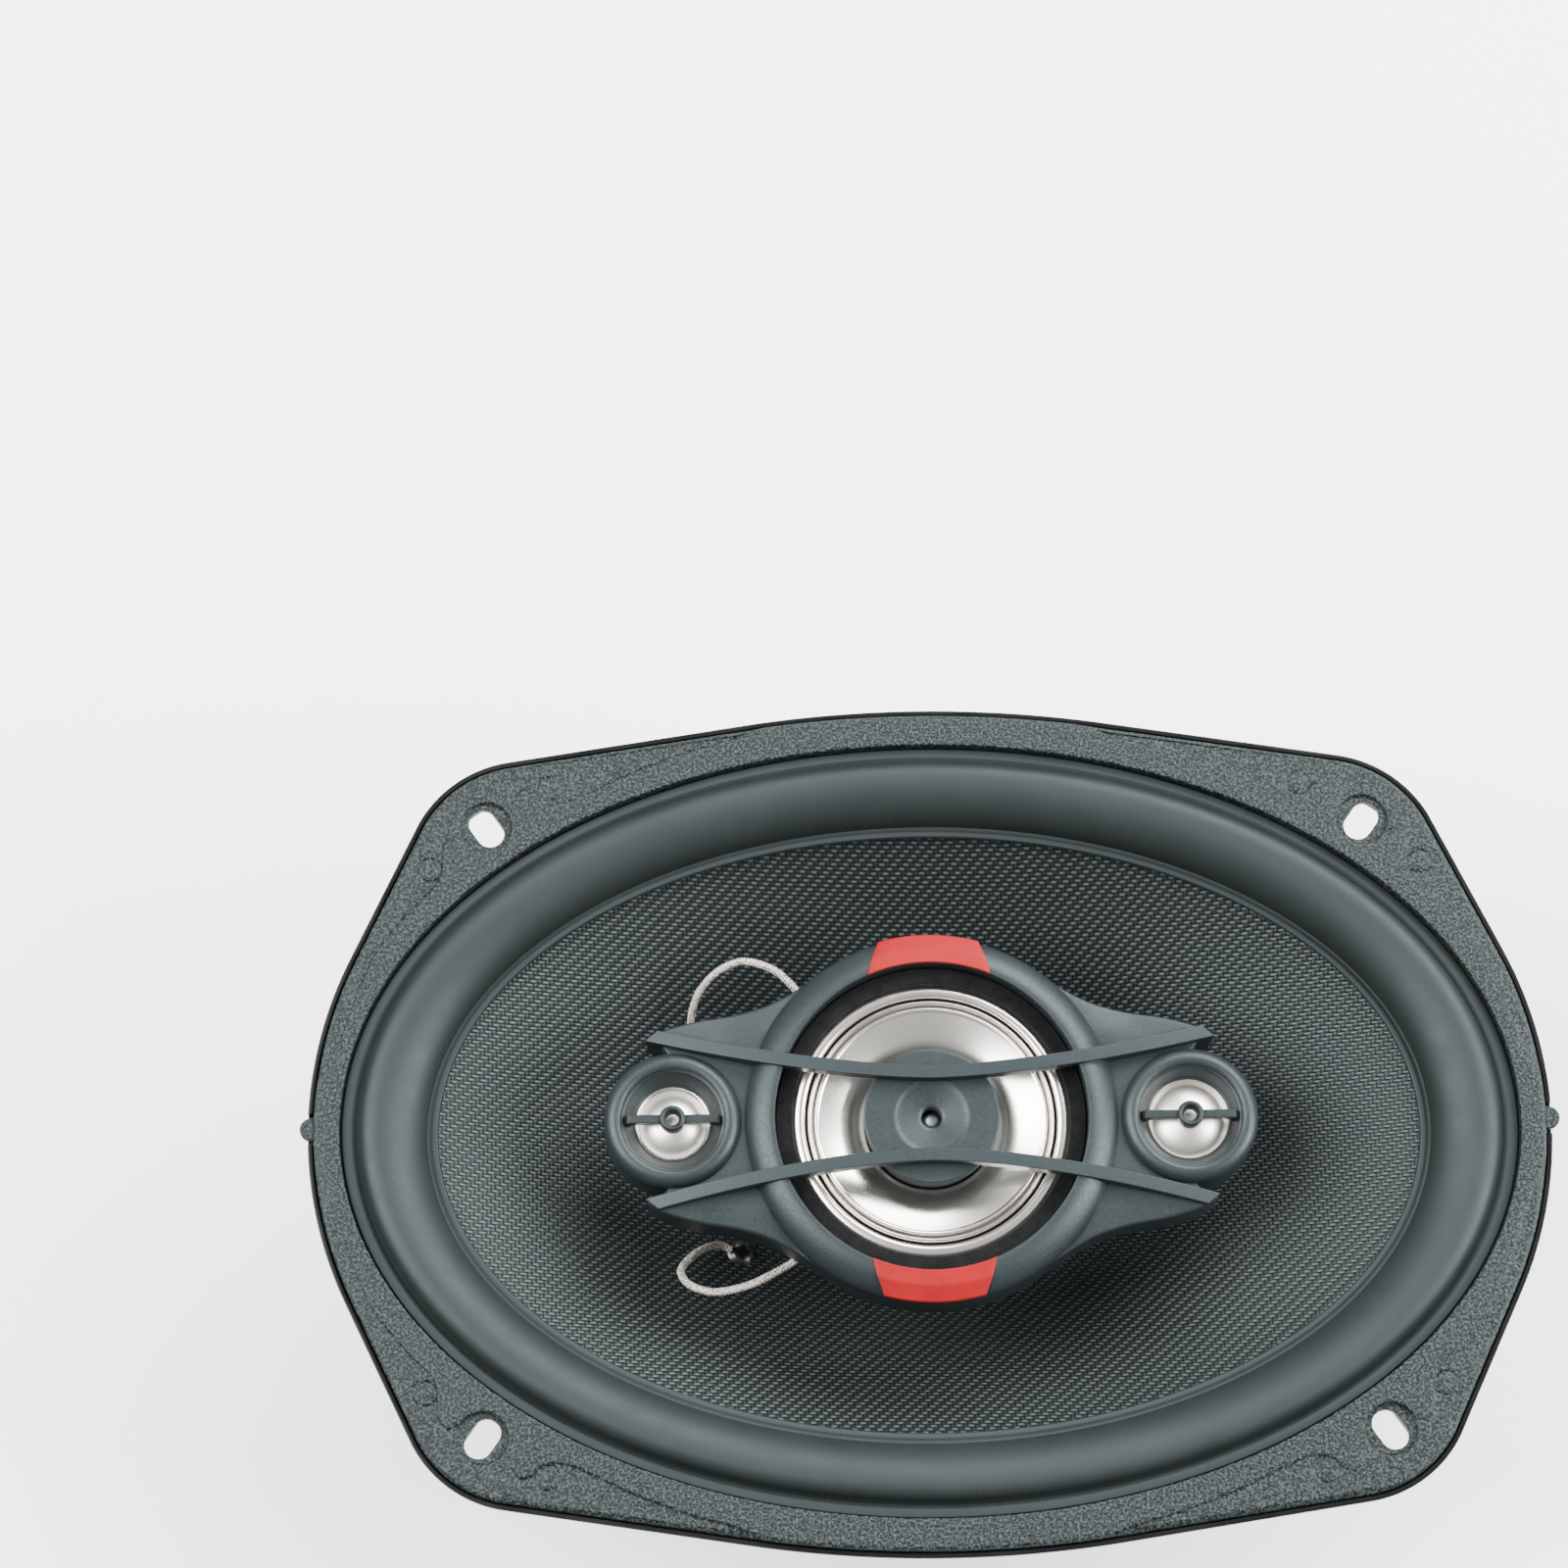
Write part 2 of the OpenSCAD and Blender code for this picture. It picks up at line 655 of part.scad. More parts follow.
module mid_yoke() {
    color("gray") difference() {
        union() {
            rod(mid_motor_radius, mid_basket_bottom + 1.2, mid_yoke_top);
            rod(mid_pole_radius, mid_yoke_top, mid_plate_top);
        }
        rod(plug_stem, mid_yoke_top + 2, mid_plate_top + 1);
    }
}

module phase_plug() {
    color("slategray") rotate_extrude() polygon([[0, mid_yoke_top + 2], [plug_stem, mid_yoke_top + 2],
        [plug_stem, mid_plate_top], [12.2, mid_plate_top], [12.2, 5], [plug_head, 6.6],
        [plug_head, plug_top - 0.9], [plug_head - 0.8, plug_top - 0.2], [7.4, plug_top],
        [6.6, plug_top - 0.2], [4.4, plug_top - 1.4], [1.9, plug_top - 1.8], [1.85, 4], [0, 4]]);
}

// Tweeters.
module bezel(opening) {
    bar_width = 1.66;
    bar_top = 9.2;
    bar_bottom = 7.2;
    color("#3c4448") union() {
        rotate_extrude() polygon([[opening, bezel_bottom], [bezel_radius - 0.1, bezel_bottom],
            [bezel_radius - 0.1, bezel_top], [pod_lip - 0.2, bezel_top],
            [opening + 0.4, bezel_bottom + 0.8], [opening, bezel_bottom + 0.6]]);
        difference() {
            union() {
                translate([-8.8, -bar_width / 2, bar_bottom])
                    cube([17.6, bar_width, bar_top - bar_bottom]);
                rod(2.5, bar_bottom, bar_top + 0.7);
            }
            rod(1.24, bar_bottom - 1, bar_top + 2);
        }
        for (x = [-1, 1]) translate([x * 8.5 - 0.6, -bar_width / 2, bezel_bottom + 1])
            cube([1.2, bar_width, bar_top - bezel_bottom - 1]);
    }
}

module clamp_ring(dome) {
    color("silver") tube(cup_wall - 0.1, dome + 0.35, cup_rim, bezel_bottom);
}

module dome(radius) {
    steps = 10;
    ball = (radius * radius + dome_rise * dome_rise) / (2 * dome_rise);
    spread = asin(radius / ball);
    top = [for (i = [0:steps]) let (a = spread * (1 - i / steps))
        [ball * sin(a), dome_base + dome_rise - ball + ball * cos(a)]];
    color("lightgray") rotate_extrude() polygon(concat(
        [for (i = [steps:-1:0])
            [max(top[i][0] - (i == steps ? 0 : 0.05), 0), top[i][1] - dome_skin]], top));
}

module dome_coil(radius) {
    color("peru") tube(radius + 0.1, radius - 0.25, -1, dome_base - dome_skin);
}

module pole_disc(radius) { color("gray") rod(radius - 0.6, -0.5, 2.4); }

module disc_magnet(radius) { color("#8a8c8e") rod(radius - 1.2, -6.5, -0.5); }

module motor_cup(radius) {
    color("gray") rotate_extrude() polygon([[0, cup_bottom], [cup_wall, cup_bottom], [cup_wall, cup_rim],
        [radius + 0.5, cup_rim], [radius + 0.5, -6.5], [0, -6.5]]);
}

module at_left() { translate([-pod_x, 0, 0]) children(); }

module at_right() { translate([pod_x, 0, 0]) children(); }

module left_bezel() { at_left() bezel(left_dome_radius + 1); }
module left_ring() { at_left() clamp_ring(left_dome_radius); }
module left_dome() { at_left() dome(left_dome_radius); }
module left_coil() { at_left() dome_coil(left_dome_radius); }
module left_pole() { at_left() pole_disc(left_dome_radius); }
module left_magnet() { at_left() disc_magnet(left_dome_radius); }
module left_cup() { at_left() motor_cup(left_dome_radius); }
module right_bezel() { at_right() bezel(right_dome_radius + 0.4); }
module right_ring() { at_right() clamp_ring(right_dome_radius); }
module right_dome() { at_right() dome(right_dome_radius); }
module right_coil() { at_right() dome_coil(right_dome_radius); }
module right_pole() { at_right() pole_disc(right_dome_radius); }
module right_magnet() { at_right() disc_magnet(right_dome_radius); }
module right_cup() { at_right() motor_cup(right_dome_radius); }

basket();
trim_ring();
surround();
cone();
spider();
voice_coil_former();
voice_coil_winding();
lead_eyelets();
top_plate();
magnet();
yoke();
bridge_post();
post_screw();
terminal_board();
terminal_positive();
terminal_negative();
terminal_rivets();
rear_lead_positive();
rear_lead_negative();
front_lead_upper();
front_lead_lower();
bridge_housing();
bridge_cover();
bridge_screws();
blade_upper();
blade_lower();
red_inset_upper();
red_inset_lower();
capacitor_left();
capacitor_right();
mid_basket();
mid_gasket();
mid_surround();
mid_cone();
mid_voice_coil();
mid_top_plate();
mid_magnet();
mid_yoke();
phase_plug();
left_bezel();
left_ring();
left_dome();
left_coil();
left_pole();
left_magnet();
left_cup();
right_bezel();
right_ring();
right_dome();
right_coil();
right_pole();
right_magnet();
right_cup();
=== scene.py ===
import json
import math

import bmesh
import bpy
import numpy as np
from mathutils import Matrix, Vector, geometry


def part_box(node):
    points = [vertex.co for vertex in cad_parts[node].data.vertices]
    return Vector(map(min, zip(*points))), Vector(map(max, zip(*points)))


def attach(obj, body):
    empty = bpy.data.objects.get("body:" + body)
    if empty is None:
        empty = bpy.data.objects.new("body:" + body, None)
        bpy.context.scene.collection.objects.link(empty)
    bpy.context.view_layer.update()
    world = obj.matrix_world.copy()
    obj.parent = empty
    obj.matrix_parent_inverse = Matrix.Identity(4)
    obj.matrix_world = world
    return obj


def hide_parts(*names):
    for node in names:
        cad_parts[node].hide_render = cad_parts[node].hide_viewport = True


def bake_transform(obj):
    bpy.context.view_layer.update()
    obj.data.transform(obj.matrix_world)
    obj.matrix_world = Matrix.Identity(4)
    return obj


# Lengths are in millimetres until a mesh is made, and MM turns them into metres.
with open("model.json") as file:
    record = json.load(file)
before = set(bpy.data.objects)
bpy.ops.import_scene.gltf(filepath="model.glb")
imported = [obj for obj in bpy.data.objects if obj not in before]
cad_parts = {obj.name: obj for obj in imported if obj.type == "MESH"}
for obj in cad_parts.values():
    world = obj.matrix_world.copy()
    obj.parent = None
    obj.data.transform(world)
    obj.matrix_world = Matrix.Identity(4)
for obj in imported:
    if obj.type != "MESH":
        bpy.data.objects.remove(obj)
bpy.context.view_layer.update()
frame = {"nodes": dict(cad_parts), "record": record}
MM = 0.001
RECORD = frame["record"]
BODY_OF = {node: body for body, nodes in RECORD["behaviour"]["bodies"].items() for node in nodes}
SLOT_OF = {row["node"]: row["material_slot"] for row in RECORD["subparts"]}


def lowest(node):
    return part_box(node)[0] / MM


def highest(node):
    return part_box(node)[1] / MM


def in_scene(name, data):
    """A new object, linked into the scene."""
    made = bpy.data.objects.new(name, data)
    bpy.context.scene.collection.objects.link(made)
    return made


# ---- camera and room

def make_camera():
    data = bpy.data.cameras.new("camera")
    data.sensor_width = 36
    data.lens = 108
    camera = in_scene("camera", data)
    camera.location = (-0.03638, -0.19352, 0.87516)
    camera.rotation_euler = [math.radians(a) for a in (16.658, -0.4163, -0.6704)]
    bpy.context.scene.camera = camera


def make_light(name, place, size, power):
    """A softbox in metres and watts that faces the speaker."""
    data = bpy.data.lights.new(name, "AREA")
    data.shape = "RECTANGLE"
    data.size, data.size_y = size
    data.energy = power
    light = in_scene(name, data)
    light.location = place
    light.rotation_mode = "QUATERNION"
    light.rotation_quaternion = (-Vector(place)).to_track_quat("-Z", "Y")


def make_room():
    world = bpy.data.worlds.new("studio")
    world.use_nodes = True
    background = world.node_tree.nodes["Background"]
    background.inputs["Color"].default_value = (0.97, 0.99, 1, 1)
    background.inputs["Strength"].default_value = 0.5
    bpy.context.scene.world = world
    make_light("softbox_left", (-0.95, 0.1, 1.1), (1.0, 1.2), 74)
    make_light("softbox_top", (0.65, 1.0, 1.0), (1.4, 0.8), 76)
    make_light("softbox_right", (1.15, -0.1, 0.7), (0.6, 1.0), 50)


# ---- outlines

def soften(path, radius, steps=4, closed=True, axis=True):
    """The path with each corner cut to a small curve; with an axis, the points on it stay."""
    points = [np.array(p, float) for p in path]
    count = len(points)
    out = []
    for i, p in enumerate(points):
        before = points[i - 1] - p
        after = points[(i + 1) % count] - p
        lengths = np.linalg.norm(before), np.linalg.norm(after)
        end = not closed and i in (0, count - 1)
        straight = before @ after < -0.985 * lengths[0] * lengths[1]
        if end or straight or (axis and p[0] < 1e-6):
            out.append(p)
            continue
        reach = min(radius, 0.45 * lengths[0], 0.45 * lengths[1])
        a = p + before / lengths[0] * reach
        b = p + after / lengths[1] * reach
        for k in range(steps + 1):
            t = k / steps
            out.append(a * (1 - t) ** 2 + p * 2 * t * (1 - t) + b * t * t)
    return out


def through(points, per_span, closed=False):
    """A smooth curve through every point."""
    p = [np.array(q, float) for q in points]
    count = len(p)
    spans = count if closed else count - 1
    out = []
    for i in range(spans):
        a, b, c, d = (p[k % count] if closed else p[min(max(k, 0), count - 1)]
                      for k in range(i - 1, i + 3))
        for k in range(per_span):
            t = k / per_span
            out.append(0.5 * (2 * b + (c - a) * t + (2 * a - 5 * b + 4 * c - d) * t ** 2
                              + (3 * b - a - 3 * c + d) * t ** 3))
    return out if closed else out + [p[-1]]


def arc(centre, radius, start, stop, steps):
    angles = np.radians(np.linspace(start, stop, steps + 1))
    return [(centre[0] + radius * math.cos(a), centre[1] + radius * math.sin(a)) for a in angles]


def circle(radius, centre=(0, 0), steps=96):
    return arc(centre, radius, 0, 360, steps)[:-1]


def oval(a, b, steps=240):
    return [(a * math.cos(t), b * math.sin(t)) for t in np.linspace(0, 2 * math.pi, steps + 1)[:-1]]


def rounding(radius, steps):
    """How far a rounded edge has turned in, and how far it lies below its top, from the side up."""
    return [(radius * (1 - math.cos(a)), radius * (1 - math.sin(a)))
            for a in np.linspace(0, math.pi / 2, steps + 1)]


def four_way(quadrant):
    """A closed outline from its first quadrant, which runs from the X axis to the Y axis."""
    q = [tuple(p) for p in quadrant]
    return (q + [(-x, y) for x, y in q[-2::-1]] + [(-x, -y) for x, y in q[1:]]
            + [(x, -y) for x, y in q[-2:0:-1]])


def at_height(outline, z):
    return [(x, y, z) for x, y in outline]


def turned_in(outline, distance):
    """A closed outline, counter-clockwise, moved inwards."""
    p = np.array(outline, float)
    ahead = np.roll(p, -1, 0) - p
    ahead /= np.linalg.norm(ahead, axis=1)[:, None]
    behind = np.roll(ahead, 1, 0)
    normals = np.stack([-ahead[:, 1] - behind[:, 1], ahead[:, 0] + behind[:, 0]], 1)
    normals /= np.maximum(np.linalg.norm(normals, axis=1)[:, None], 1e-9)
    cosine = np.clip(-ahead[:, 1] * normals[:, 0] + ahead[:, 0] * normals[:, 1], 0.5, 1)
    return [tuple(q) for q in p + normals * (distance / cosine)[:, None]]


def inside(points, outlines):
    """Whether each point lies inside an odd number of the closed outlines."""
    x, y = np.array(points, float).T
    odd = np.zeros(len(x), bool)
    for outline in outlines:
        a = np.array(outline, float)[:, :2]
        for (x0, y0), (x1, y1) in zip(a, np.roll(a, -1, 0)):
            if y0 != y1:
                crosses = (y0 > y) != (y1 > y)
                odd ^= crosses & (x < x0 + (y - y0) / (y1 - y0) * (x1 - x0))
    return odd


def nearest(points, others):
    """Distance from each point to the closest of the others."""
    p = np.array(points, float)[:, :2]
    q = np.array(others, float)[:, :2]
    return np.concatenate([np.sqrt(((part[:, None] - q) ** 2).sum(2).min(1))
                           for part in np.array_split(p, max(1, len(p) // 500))])


def scatter(outlines, spacing, clear):
    """Evenly spread points inside the outlines, clear of their edges."""
    edge = np.concatenate([np.array(o, float)[:, :2] for o in outlines])
    low, high = edge.min(0), edge.max(0)
    rows = np.arange(low[1], high[1], spacing * 0.866)
    spots = [(x + (row % 2) * spacing / 2, y) for row, y in enumerate(rows)
             for x in np.arange(low[0], high[0], spacing)]
    spots = np.array(spots)
    spots = spots[inside(spots, outlines)]
    return spots[nearest(spots, edge) > clear]


# ---- meshes

class Shell:
    """Points in millimetres and the faces over them."""

    def __init__(self):
        self.points = []
        self.faces = []

    def loop(self, points):
        first = len(self.points)
        self.points += [tuple(float(c) for c in p) for p in points]
        return list(range(first, len(self.points)))

    def strip(self, a, b, closed=True):
        count = len(a)
        for i in range(count if closed else count - 1):
            j = (i + 1) % count
            self.faces.append((a[i], a[j], b[j], b[i]))

    def skin(self, loops, closed=False):
        """Strips from each loop to the next; a loop of one point is a tip."""
        for a, b in zip(loops, loops[1:] + loops[:1] if closed else loops[1:]):
            if len(a) == 1 and len(b) == 1:
                continue
            if len(a) == 1 or len(b) == 1:
                tip, around = (a, b) if len(a) == 1 else (b, a)
                for i, here in enumerate(around):
                    self.faces.append((here, around[(i + 1) % len(around)], tip[0]))
            else:
                self.strip(a, b)

    def bar(self, loops):
        """Strips along a row of loops, and a face over each end."""
        self.skin(loops)
        self.faces += [tuple(loops[0]), tuple(loops[-1])]

    def patch(self, loops, spots=()):
        """Triangles between the closed loops, seen from above, over the extra spots."""
        ids = [i for ring in loops for i in ring] + self.loop(spots)
        edges = []
        first = 0
        for ring in loops:
            edges += [(first + k, first + (k + 1) % len(ring)) for k in range(len(ring))]
            first += len(ring)
        flat = [Vector(self.points[i][:2]) for i in ids]
        corners, _, faces, origin, _, _ = geometry.delaunay_2d_cdt(flat, edges, [], 0, 1e-7)
        place = np.array([c[:] for c in corners])
        faces = [f for f in faces if all(origin[v] for v in f)]
        middles = np.array([place[list(f)].mean(0) for f in faces])
        outlines = [[self.points[i][:2] for i in ring] for ring in loops]
        for face, keep in zip(faces, inside(middles, outlines)):
            if keep:
                self.faces.append(tuple(ids[origin[v][0]] for v in face))

    def turned(self, profile, centre=(0, 0), steps=144):
        """A closed profile of (radius, height) turned about a vertical axis."""
        self.skin([self.loop(at_height(circle(r, centre, steps), z) if r > 1e-6
                             else [(*centre, z)]) for r, z in profile], closed=True)

    def slab(self, outline, bottom, top, edge, holes=()):
        """A flat plate with rounded edges and straight holes."""
        curve = rounding(edge, 3)
        levels = [(inset, bottom + lift) for inset, lift in curve[::-1]]
        levels += [(inset, top - drop) for inset, drop in curve]
        rings = [self.loop(at_height(turned_in(outline, inset), z)) for inset, z in levels]
        self.skin(rings)
        low = [self.loop(at_height(hole, bottom)) for hole in holes]
        high = [self.loop(at_height(hole, top)) for hole in holes]
        for a, b in zip(low, high):
            self.strip(a, b)
        self.patch([rings[0], *low])
        self.patch([rings[-1], *high])

    def place(self, first, matrix):
        """Moves the points from the first one on."""
        self.points[first:] = [tuple(matrix @ Vector(p)) for p in self.points[first:]]

    def piece(self, name, node, shown_for=(), sharp=32):
        """An object that has the material slot of a CAD node."""
        mesh = bpy.data.meshes.new(name)
        mesh.from_pydata([[c * MM for c in p] for p in self.points], [], self.faces)
        work = bmesh.new()
        work.from_mesh(mesh)
        bmesh.ops.recalc_face_normals(work, faces=work.faces)
        work.to_mesh(mesh)
        work.free()
        mesh.shade_smooth()
        mesh.set_sharp_from_angle(angle=math.radians(sharp))
        made = in_scene(name, mesh)
        mesh.materials.append(MATERIALS[SLOT_OF[node]])
        if shown_for:
            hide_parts(*shown_for)
        return made

    def ride(self, node, name=None, sharp=32):
        """The finished piece for a node, or for one more part of it when it has a name."""
        made = self.piece(name or node + "_detail", node, () if name else (node,), sharp)
        modify(made, "even_shading", "WEIGHTED_NORMAL", keep_sharp=True)
        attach(made, BODY_OF[node])

    def bend(self, node, sharp=32):
        """The finished piece for a node that stretches between the frame and a moving body."""
        made = self.piece(node + "_detail", node, (node,), sharp)
        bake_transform(made)


def modify(made, name, kind, **settings):
    modifier = made.modifiers.new(name, kind)
    for setting, value in settings.items():
        setattr(modifier, setting, value)


def turned_piece(node, profile, corner=0.35, cuts=3, name=None, centre=(0, 0), steps=144, sharp=32):
    """A piece turned from one profile whose corners are rounded."""
    shell = Shell()
    shell.turned(soften(profile, corner, cuts), centre, steps)
    shell.ride(node, name, sharp)


def smooth(t):
    """From 0 to 1 with a level start and end."""
    t = np.clip(t, 0, 1)
    return t * t * (3 - 2 * t)


def mix(a, b, t):
    return a + (b - a) * t


def rounded_box(centre, size, radius):
    x, y = centre
    half_x, half_y = size[0] / 2, size[1] / 2
    corners = [(x + half_x, y + half_y), (x - half_x, y + half_y),
               (x - half_x, y - half_y), (x + half_x, y - half_y)]
    return soften(corners, radius, 5, axis=False)


# ---- materials

COOL = (0.86, 1.0, 1.0, 1.0)
MATERIALS = {}


class Finish:
    """A Principled material with textures measured in millimetres on the object."""

    def __init__(self, slot, colour, rough, **shader):
        self.material = bpy.data.materials.new(slot)
        self.material.use_nodes = True
        MATERIALS[slot] = self.material
        self.tree = self.material.node_tree
        self.shader = self.tree.nodes["Principled BSDF"]
        self.where = self.node("TexCoord").outputs["Object"]
        self.shader.inputs["Base Color"].default_value = (*colour, 1)
        self.shader.inputs["Roughness"].default_value = rough
        for name, value in shader.items():
            self.shader.inputs[name.replace("_", " ")].default_value = value
        self.relief = None

    def node(self, kind, **settings):
        made = self.tree.nodes.new("ShaderNode" + kind)
        for name, value in settings.items():
            setattr(made, name, value)
        return made

    def feed(self, socket, value):
        if isinstance(value, bpy.types.NodeSocket):
            self.tree.links.new(value, socket)
        else:
            socket.default_value = value

    def math(self, operation, *values):
        made = self.node("Math", operation=operation)
        for socket, value in zip(made.inputs, values):
            self.feed(socket, value)
        return made.outputs[0]

    def stretched(self, stretch):
        made = self.node("Mapping")
        self.feed(made.inputs["Vector"], self.where)
        made.inputs["Scale"].default_value = stretch
        return made.outputs[0]

    def axes(self):
        made = self.node("SeparateXYZ")
        self.feed(made.inputs[0], self.where)
        return made.outputs

    def noise(self, size, detail=3, stretch=None, twist=0.0):
        made = self.node("TexNoise")
        self.feed(made.inputs["Vector"], self.stretched(stretch) if stretch else self.where)
        made.inputs["Scale"].default_value = 1 / (size * MM)
        made.inputs["Detail"].default_value = detail
        made.inputs["Distortion"].default_value = twist
        return made.outputs[0]

    def cells(self, size, feature="F1"):
        made = self.node("TexVoronoi", feature=feature)
        self.feed(made.inputs["Vector"], self.where)
        made.inputs["Scale"].default_value = 1 / (size * MM)
        return made.outputs["Distance"]

    def spread(self, value, low, high, start=0.0, stop=1.0):
        made = self.node("MapRange", clamp=True)
        for socket, number in zip(made.inputs, (value, start, stop, low, high)):
            self.feed(socket, number)
        return made.outputs[0]

    def colour(self, value, dark, light, start=0.3, stop=0.7):
        made = self.node("Mix", data_type="RGBA")
        self.feed(made.inputs[0], self.spread(value, 0.0, 1.0, start, stop))
        self.feed(made.inputs[6], dark if isinstance(dark, bpy.types.NodeSocket) else (*dark, 1))
        self.feed(made.inputs[7], (*light, 1))
        self.feed(self.shader.inputs["Base Color"], made.outputs[2])
        return made.outputs[2]

    def rough(self, value, low, high, start=0.3, stop=0.7):
        self.feed(self.shader.inputs["Roughness"], self.spread(value, low, high, start, stop))

    def bump(self, height, depth):
        """Adds relief of this depth for a height from 0 to 1."""
        made = self.node("Bump")
        made.inputs["Distance"].default_value = depth * MM
        self.feed(made.inputs["Height"], height)
        if self.relief:
            self.feed(made.inputs["Normal"], self.relief)
        self.relief = made.outputs[0]
        self.feed(self.shader.inputs["Normal"], self.relief)

    def dust(self, base, size, share, tone):
        """Tiny pale specks over a colour."""
        spots = self.cells(size)
        pick = self.math("MULTIPLY", self.math("LESS_THAN", spots, share),
                         self.math("GREATER_THAN", self.noise(size * 6, 1), 0.52))
        self.colour(pick, base, tone, 0.0, 1.0)


def steel_black():
    f = Finish("steel_black", (0.003, 0.004, 0.004), 0.3, Specular_IOR_Level=0.2)
    f.colour(f.noise(40, 2), (0.0022, 0.0028, 0.0029), (0.0036, 0.0044, 0.0045))
    f.rough(f.noise(9, 4), 0.22, 0.34)
    f.bump(f.noise(1.6, 2), 0.006)


def trim_plastic():
    f = Finish("trim_plastic", (0.01, 0.012, 0.012), 0.5, Specular_IOR_Level=0.24, Specular_Tint=COOL)
    pebbles = f.cells(0.62, "SMOOTH_F1")
    grain = f.noise(0.5, 1, twist=0.3)
    f.colour(grain, (0.0012, 0.0018, 0.0018), (0.0350, 0.0440, 0.0430), 0.44, 0.74)
    f.rough(grain, 0.44, 0.6)
    f.bump(f.spread(pebbles, 1.0, 0.0, 0.1, 0.75), 0.05)
    f.bump(f.spread(grain, 0.0, 1.0, 0.38, 0.62), 0.05)


def surround_rubber():
    f = Finish("surround_rubber", (0.006, 0.008, 0.008), 0.5, Specular_IOR_Level=0.26,
               Specular_Tint=COOL)
    base = f.colour(f.noise(30, 3), (0.0086, 0.0112, 0.0110), (0.0106, 0.0135, 0.0133))
    f.dust(base, 1.9, 0.045, (0.05, 0.055, 0.055))
    f.rough(f.noise(6, 4), 0.5, 0.58)
    f.bump(f.noise(0.9, 3), 0.006)


def woven_cone():
    """A twill: each weft yarn goes over two warp yarns and under one."""
    f = Finish("woven_cone", (0.02, 0.024, 0.025), 0.45, Specular_IOR_Level=0.24, Specular_Tint=COOL)
    x, y, _ = f.axes()
    sway = f.math("MULTIPLY", f.noise(6, 1), 0.5)
    u = f.math("ADD", f.math("MULTIPLY", x, 1 / (WARP_PITCH * MM)), sway)
    v = f.math("ADD", f.math("MULTIPLY", y, 1 / (WEFT_PITCH * MM)), sway)

    def yarn(along, across, centre, reach):
        """Height of a yarn, which is on top for a part of every three crossings."""
        side = f.math("SUBTRACT", f.math("MULTIPLY", f.math("FRACT", across), 2.0), 1.0)
        body = f.math("SUBTRACT", 1.0, f.math("POWER", f.math("ABSOLUTE", side), 2.0))
        turn = f.math("SUBTRACT", along, f.math("FLOOR", across))
        place = f.math("SUBTRACT", f.math("FLOORED_MODULO", turn, 3.0), centre)
        wave = f.math("COSINE", f.math("MULTIPLY", place, math.pi / reach))
        return f.math("MULTIPLY", body, f.math("MAXIMUM", wave, 0.0))

    weft = yarn(u, v, 1.0, 2.6)
    warp = yarn(v, u, 1.5, 1.6)
    height = f.math("MAXIMUM", weft, f.math("MULTIPLY", warp, 0.8))
    # Painted highlight on the crown of each weft float, and painted shade in the gaps between the yarns.
    tone = f.math("MAXIMUM", f.math("POWER", weft, 2.2), f.math("MULTIPLY", warp, 0.24))
    f.colour(tone, (0.0008, 0.0011, 0.0011), (0.050, 0.060, 0.059), 0.05, 0.95)
    f.rough(height, 0.5, 0.36, 0.2, 0.9)
    f.bump(height, 0.14)


def spider_cloth():
    f = Finish("spider_cloth", (0.62, 0.48, 0.26), 0.8, Sheen_Weight=0.3)
    threads = f.math("MULTIPLY", f.cells(0.7), f.noise(0.5, 1))
    f.colour(f.noise(0.8, 2), (0.42, 0.30, 0.13), (0.62, 0.47, 0.24))
    f.bump(threads, 0.12)


def metal(slot, colour, rough, size=0.4, stretch=None, depth=0.004):
    f = Finish(slot, colour, rough, Metallic=1.0)
    marks = f.noise(size, 3, stretch)
    f.colour(f.noise(12, 3), [c * 0.86 for c in colour], colour)
    f.rough(marks, rough * 0.8, rough * 1.35)
    f.bump(marks, depth)


def copper_wire():
    f = Finish("copper_wire", (0.62, 0.27, 0.11), 0.3, Metallic=1.0, Coat_Weight=0.4)
    turns = f.math("SINE", f.math("MULTIPLY", f.axes()[2], 2 * math.pi / (0.3 * MM)))
    f.colour(f.noise(3, 2), (0.5, 0.2, 0.08), (0.68, 0.32, 0.14))
    f.bump(f.math("MULTIPLY_ADD", turns, 0.5, 0.5), 0.08)


def black_glue():
    f = Finish("black_glue", (0.012, 0.012, 0.013), 0.3, Coat_Weight=0.3)
    f.colour(f.noise(2, 2), (0.002, 0.002, 0.0022), (0.005, 0.005, 0.0053))
    f.bump(f.noise(1.5, 3), 0.12)


def ferrite():
    f = Finish("ferrite", (0.02, 0.02, 0.022), 0.55, Metallic=0.3)
    f.colour(f.noise(0.7, 4), (0.014, 0.014, 0.015), (0.026, 0.026, 0.028))
    f.rough(f.noise(4, 3), 0.5, 0.66)
    f.bump(f.noise(0.5, 4), 0.04)


def board_phenolic():
    f = Finish("board_phenolic", (0.34, 0.17, 0.08), 0.45)
    f.colour(f.noise(1.2, 4, (0.25, 1, 1)), (0.22, 0.10, 0.04), (0.38, 0.19, 0.09))
    f.rough(f.noise(1.5, 3), 0.36, 0.56)
    f.bump(f.noise(0.5, 2, (0.3, 1, 1)), 0.02)


def braided_lead():
    f = Finish("braided_lead", (0.4, 0.38, 0.33), 0.5, Metallic=0.2)
    f.colour(f.noise(0.3, 2), (0.09, 0.08, 0.065), (0.56, 0.53, 0.47), 0.4, 0.6)
    f.rough(f.noise(0.4, 2), 0.34, 0.6)
    f.bump(f.noise(0.25, 3), 0.05)


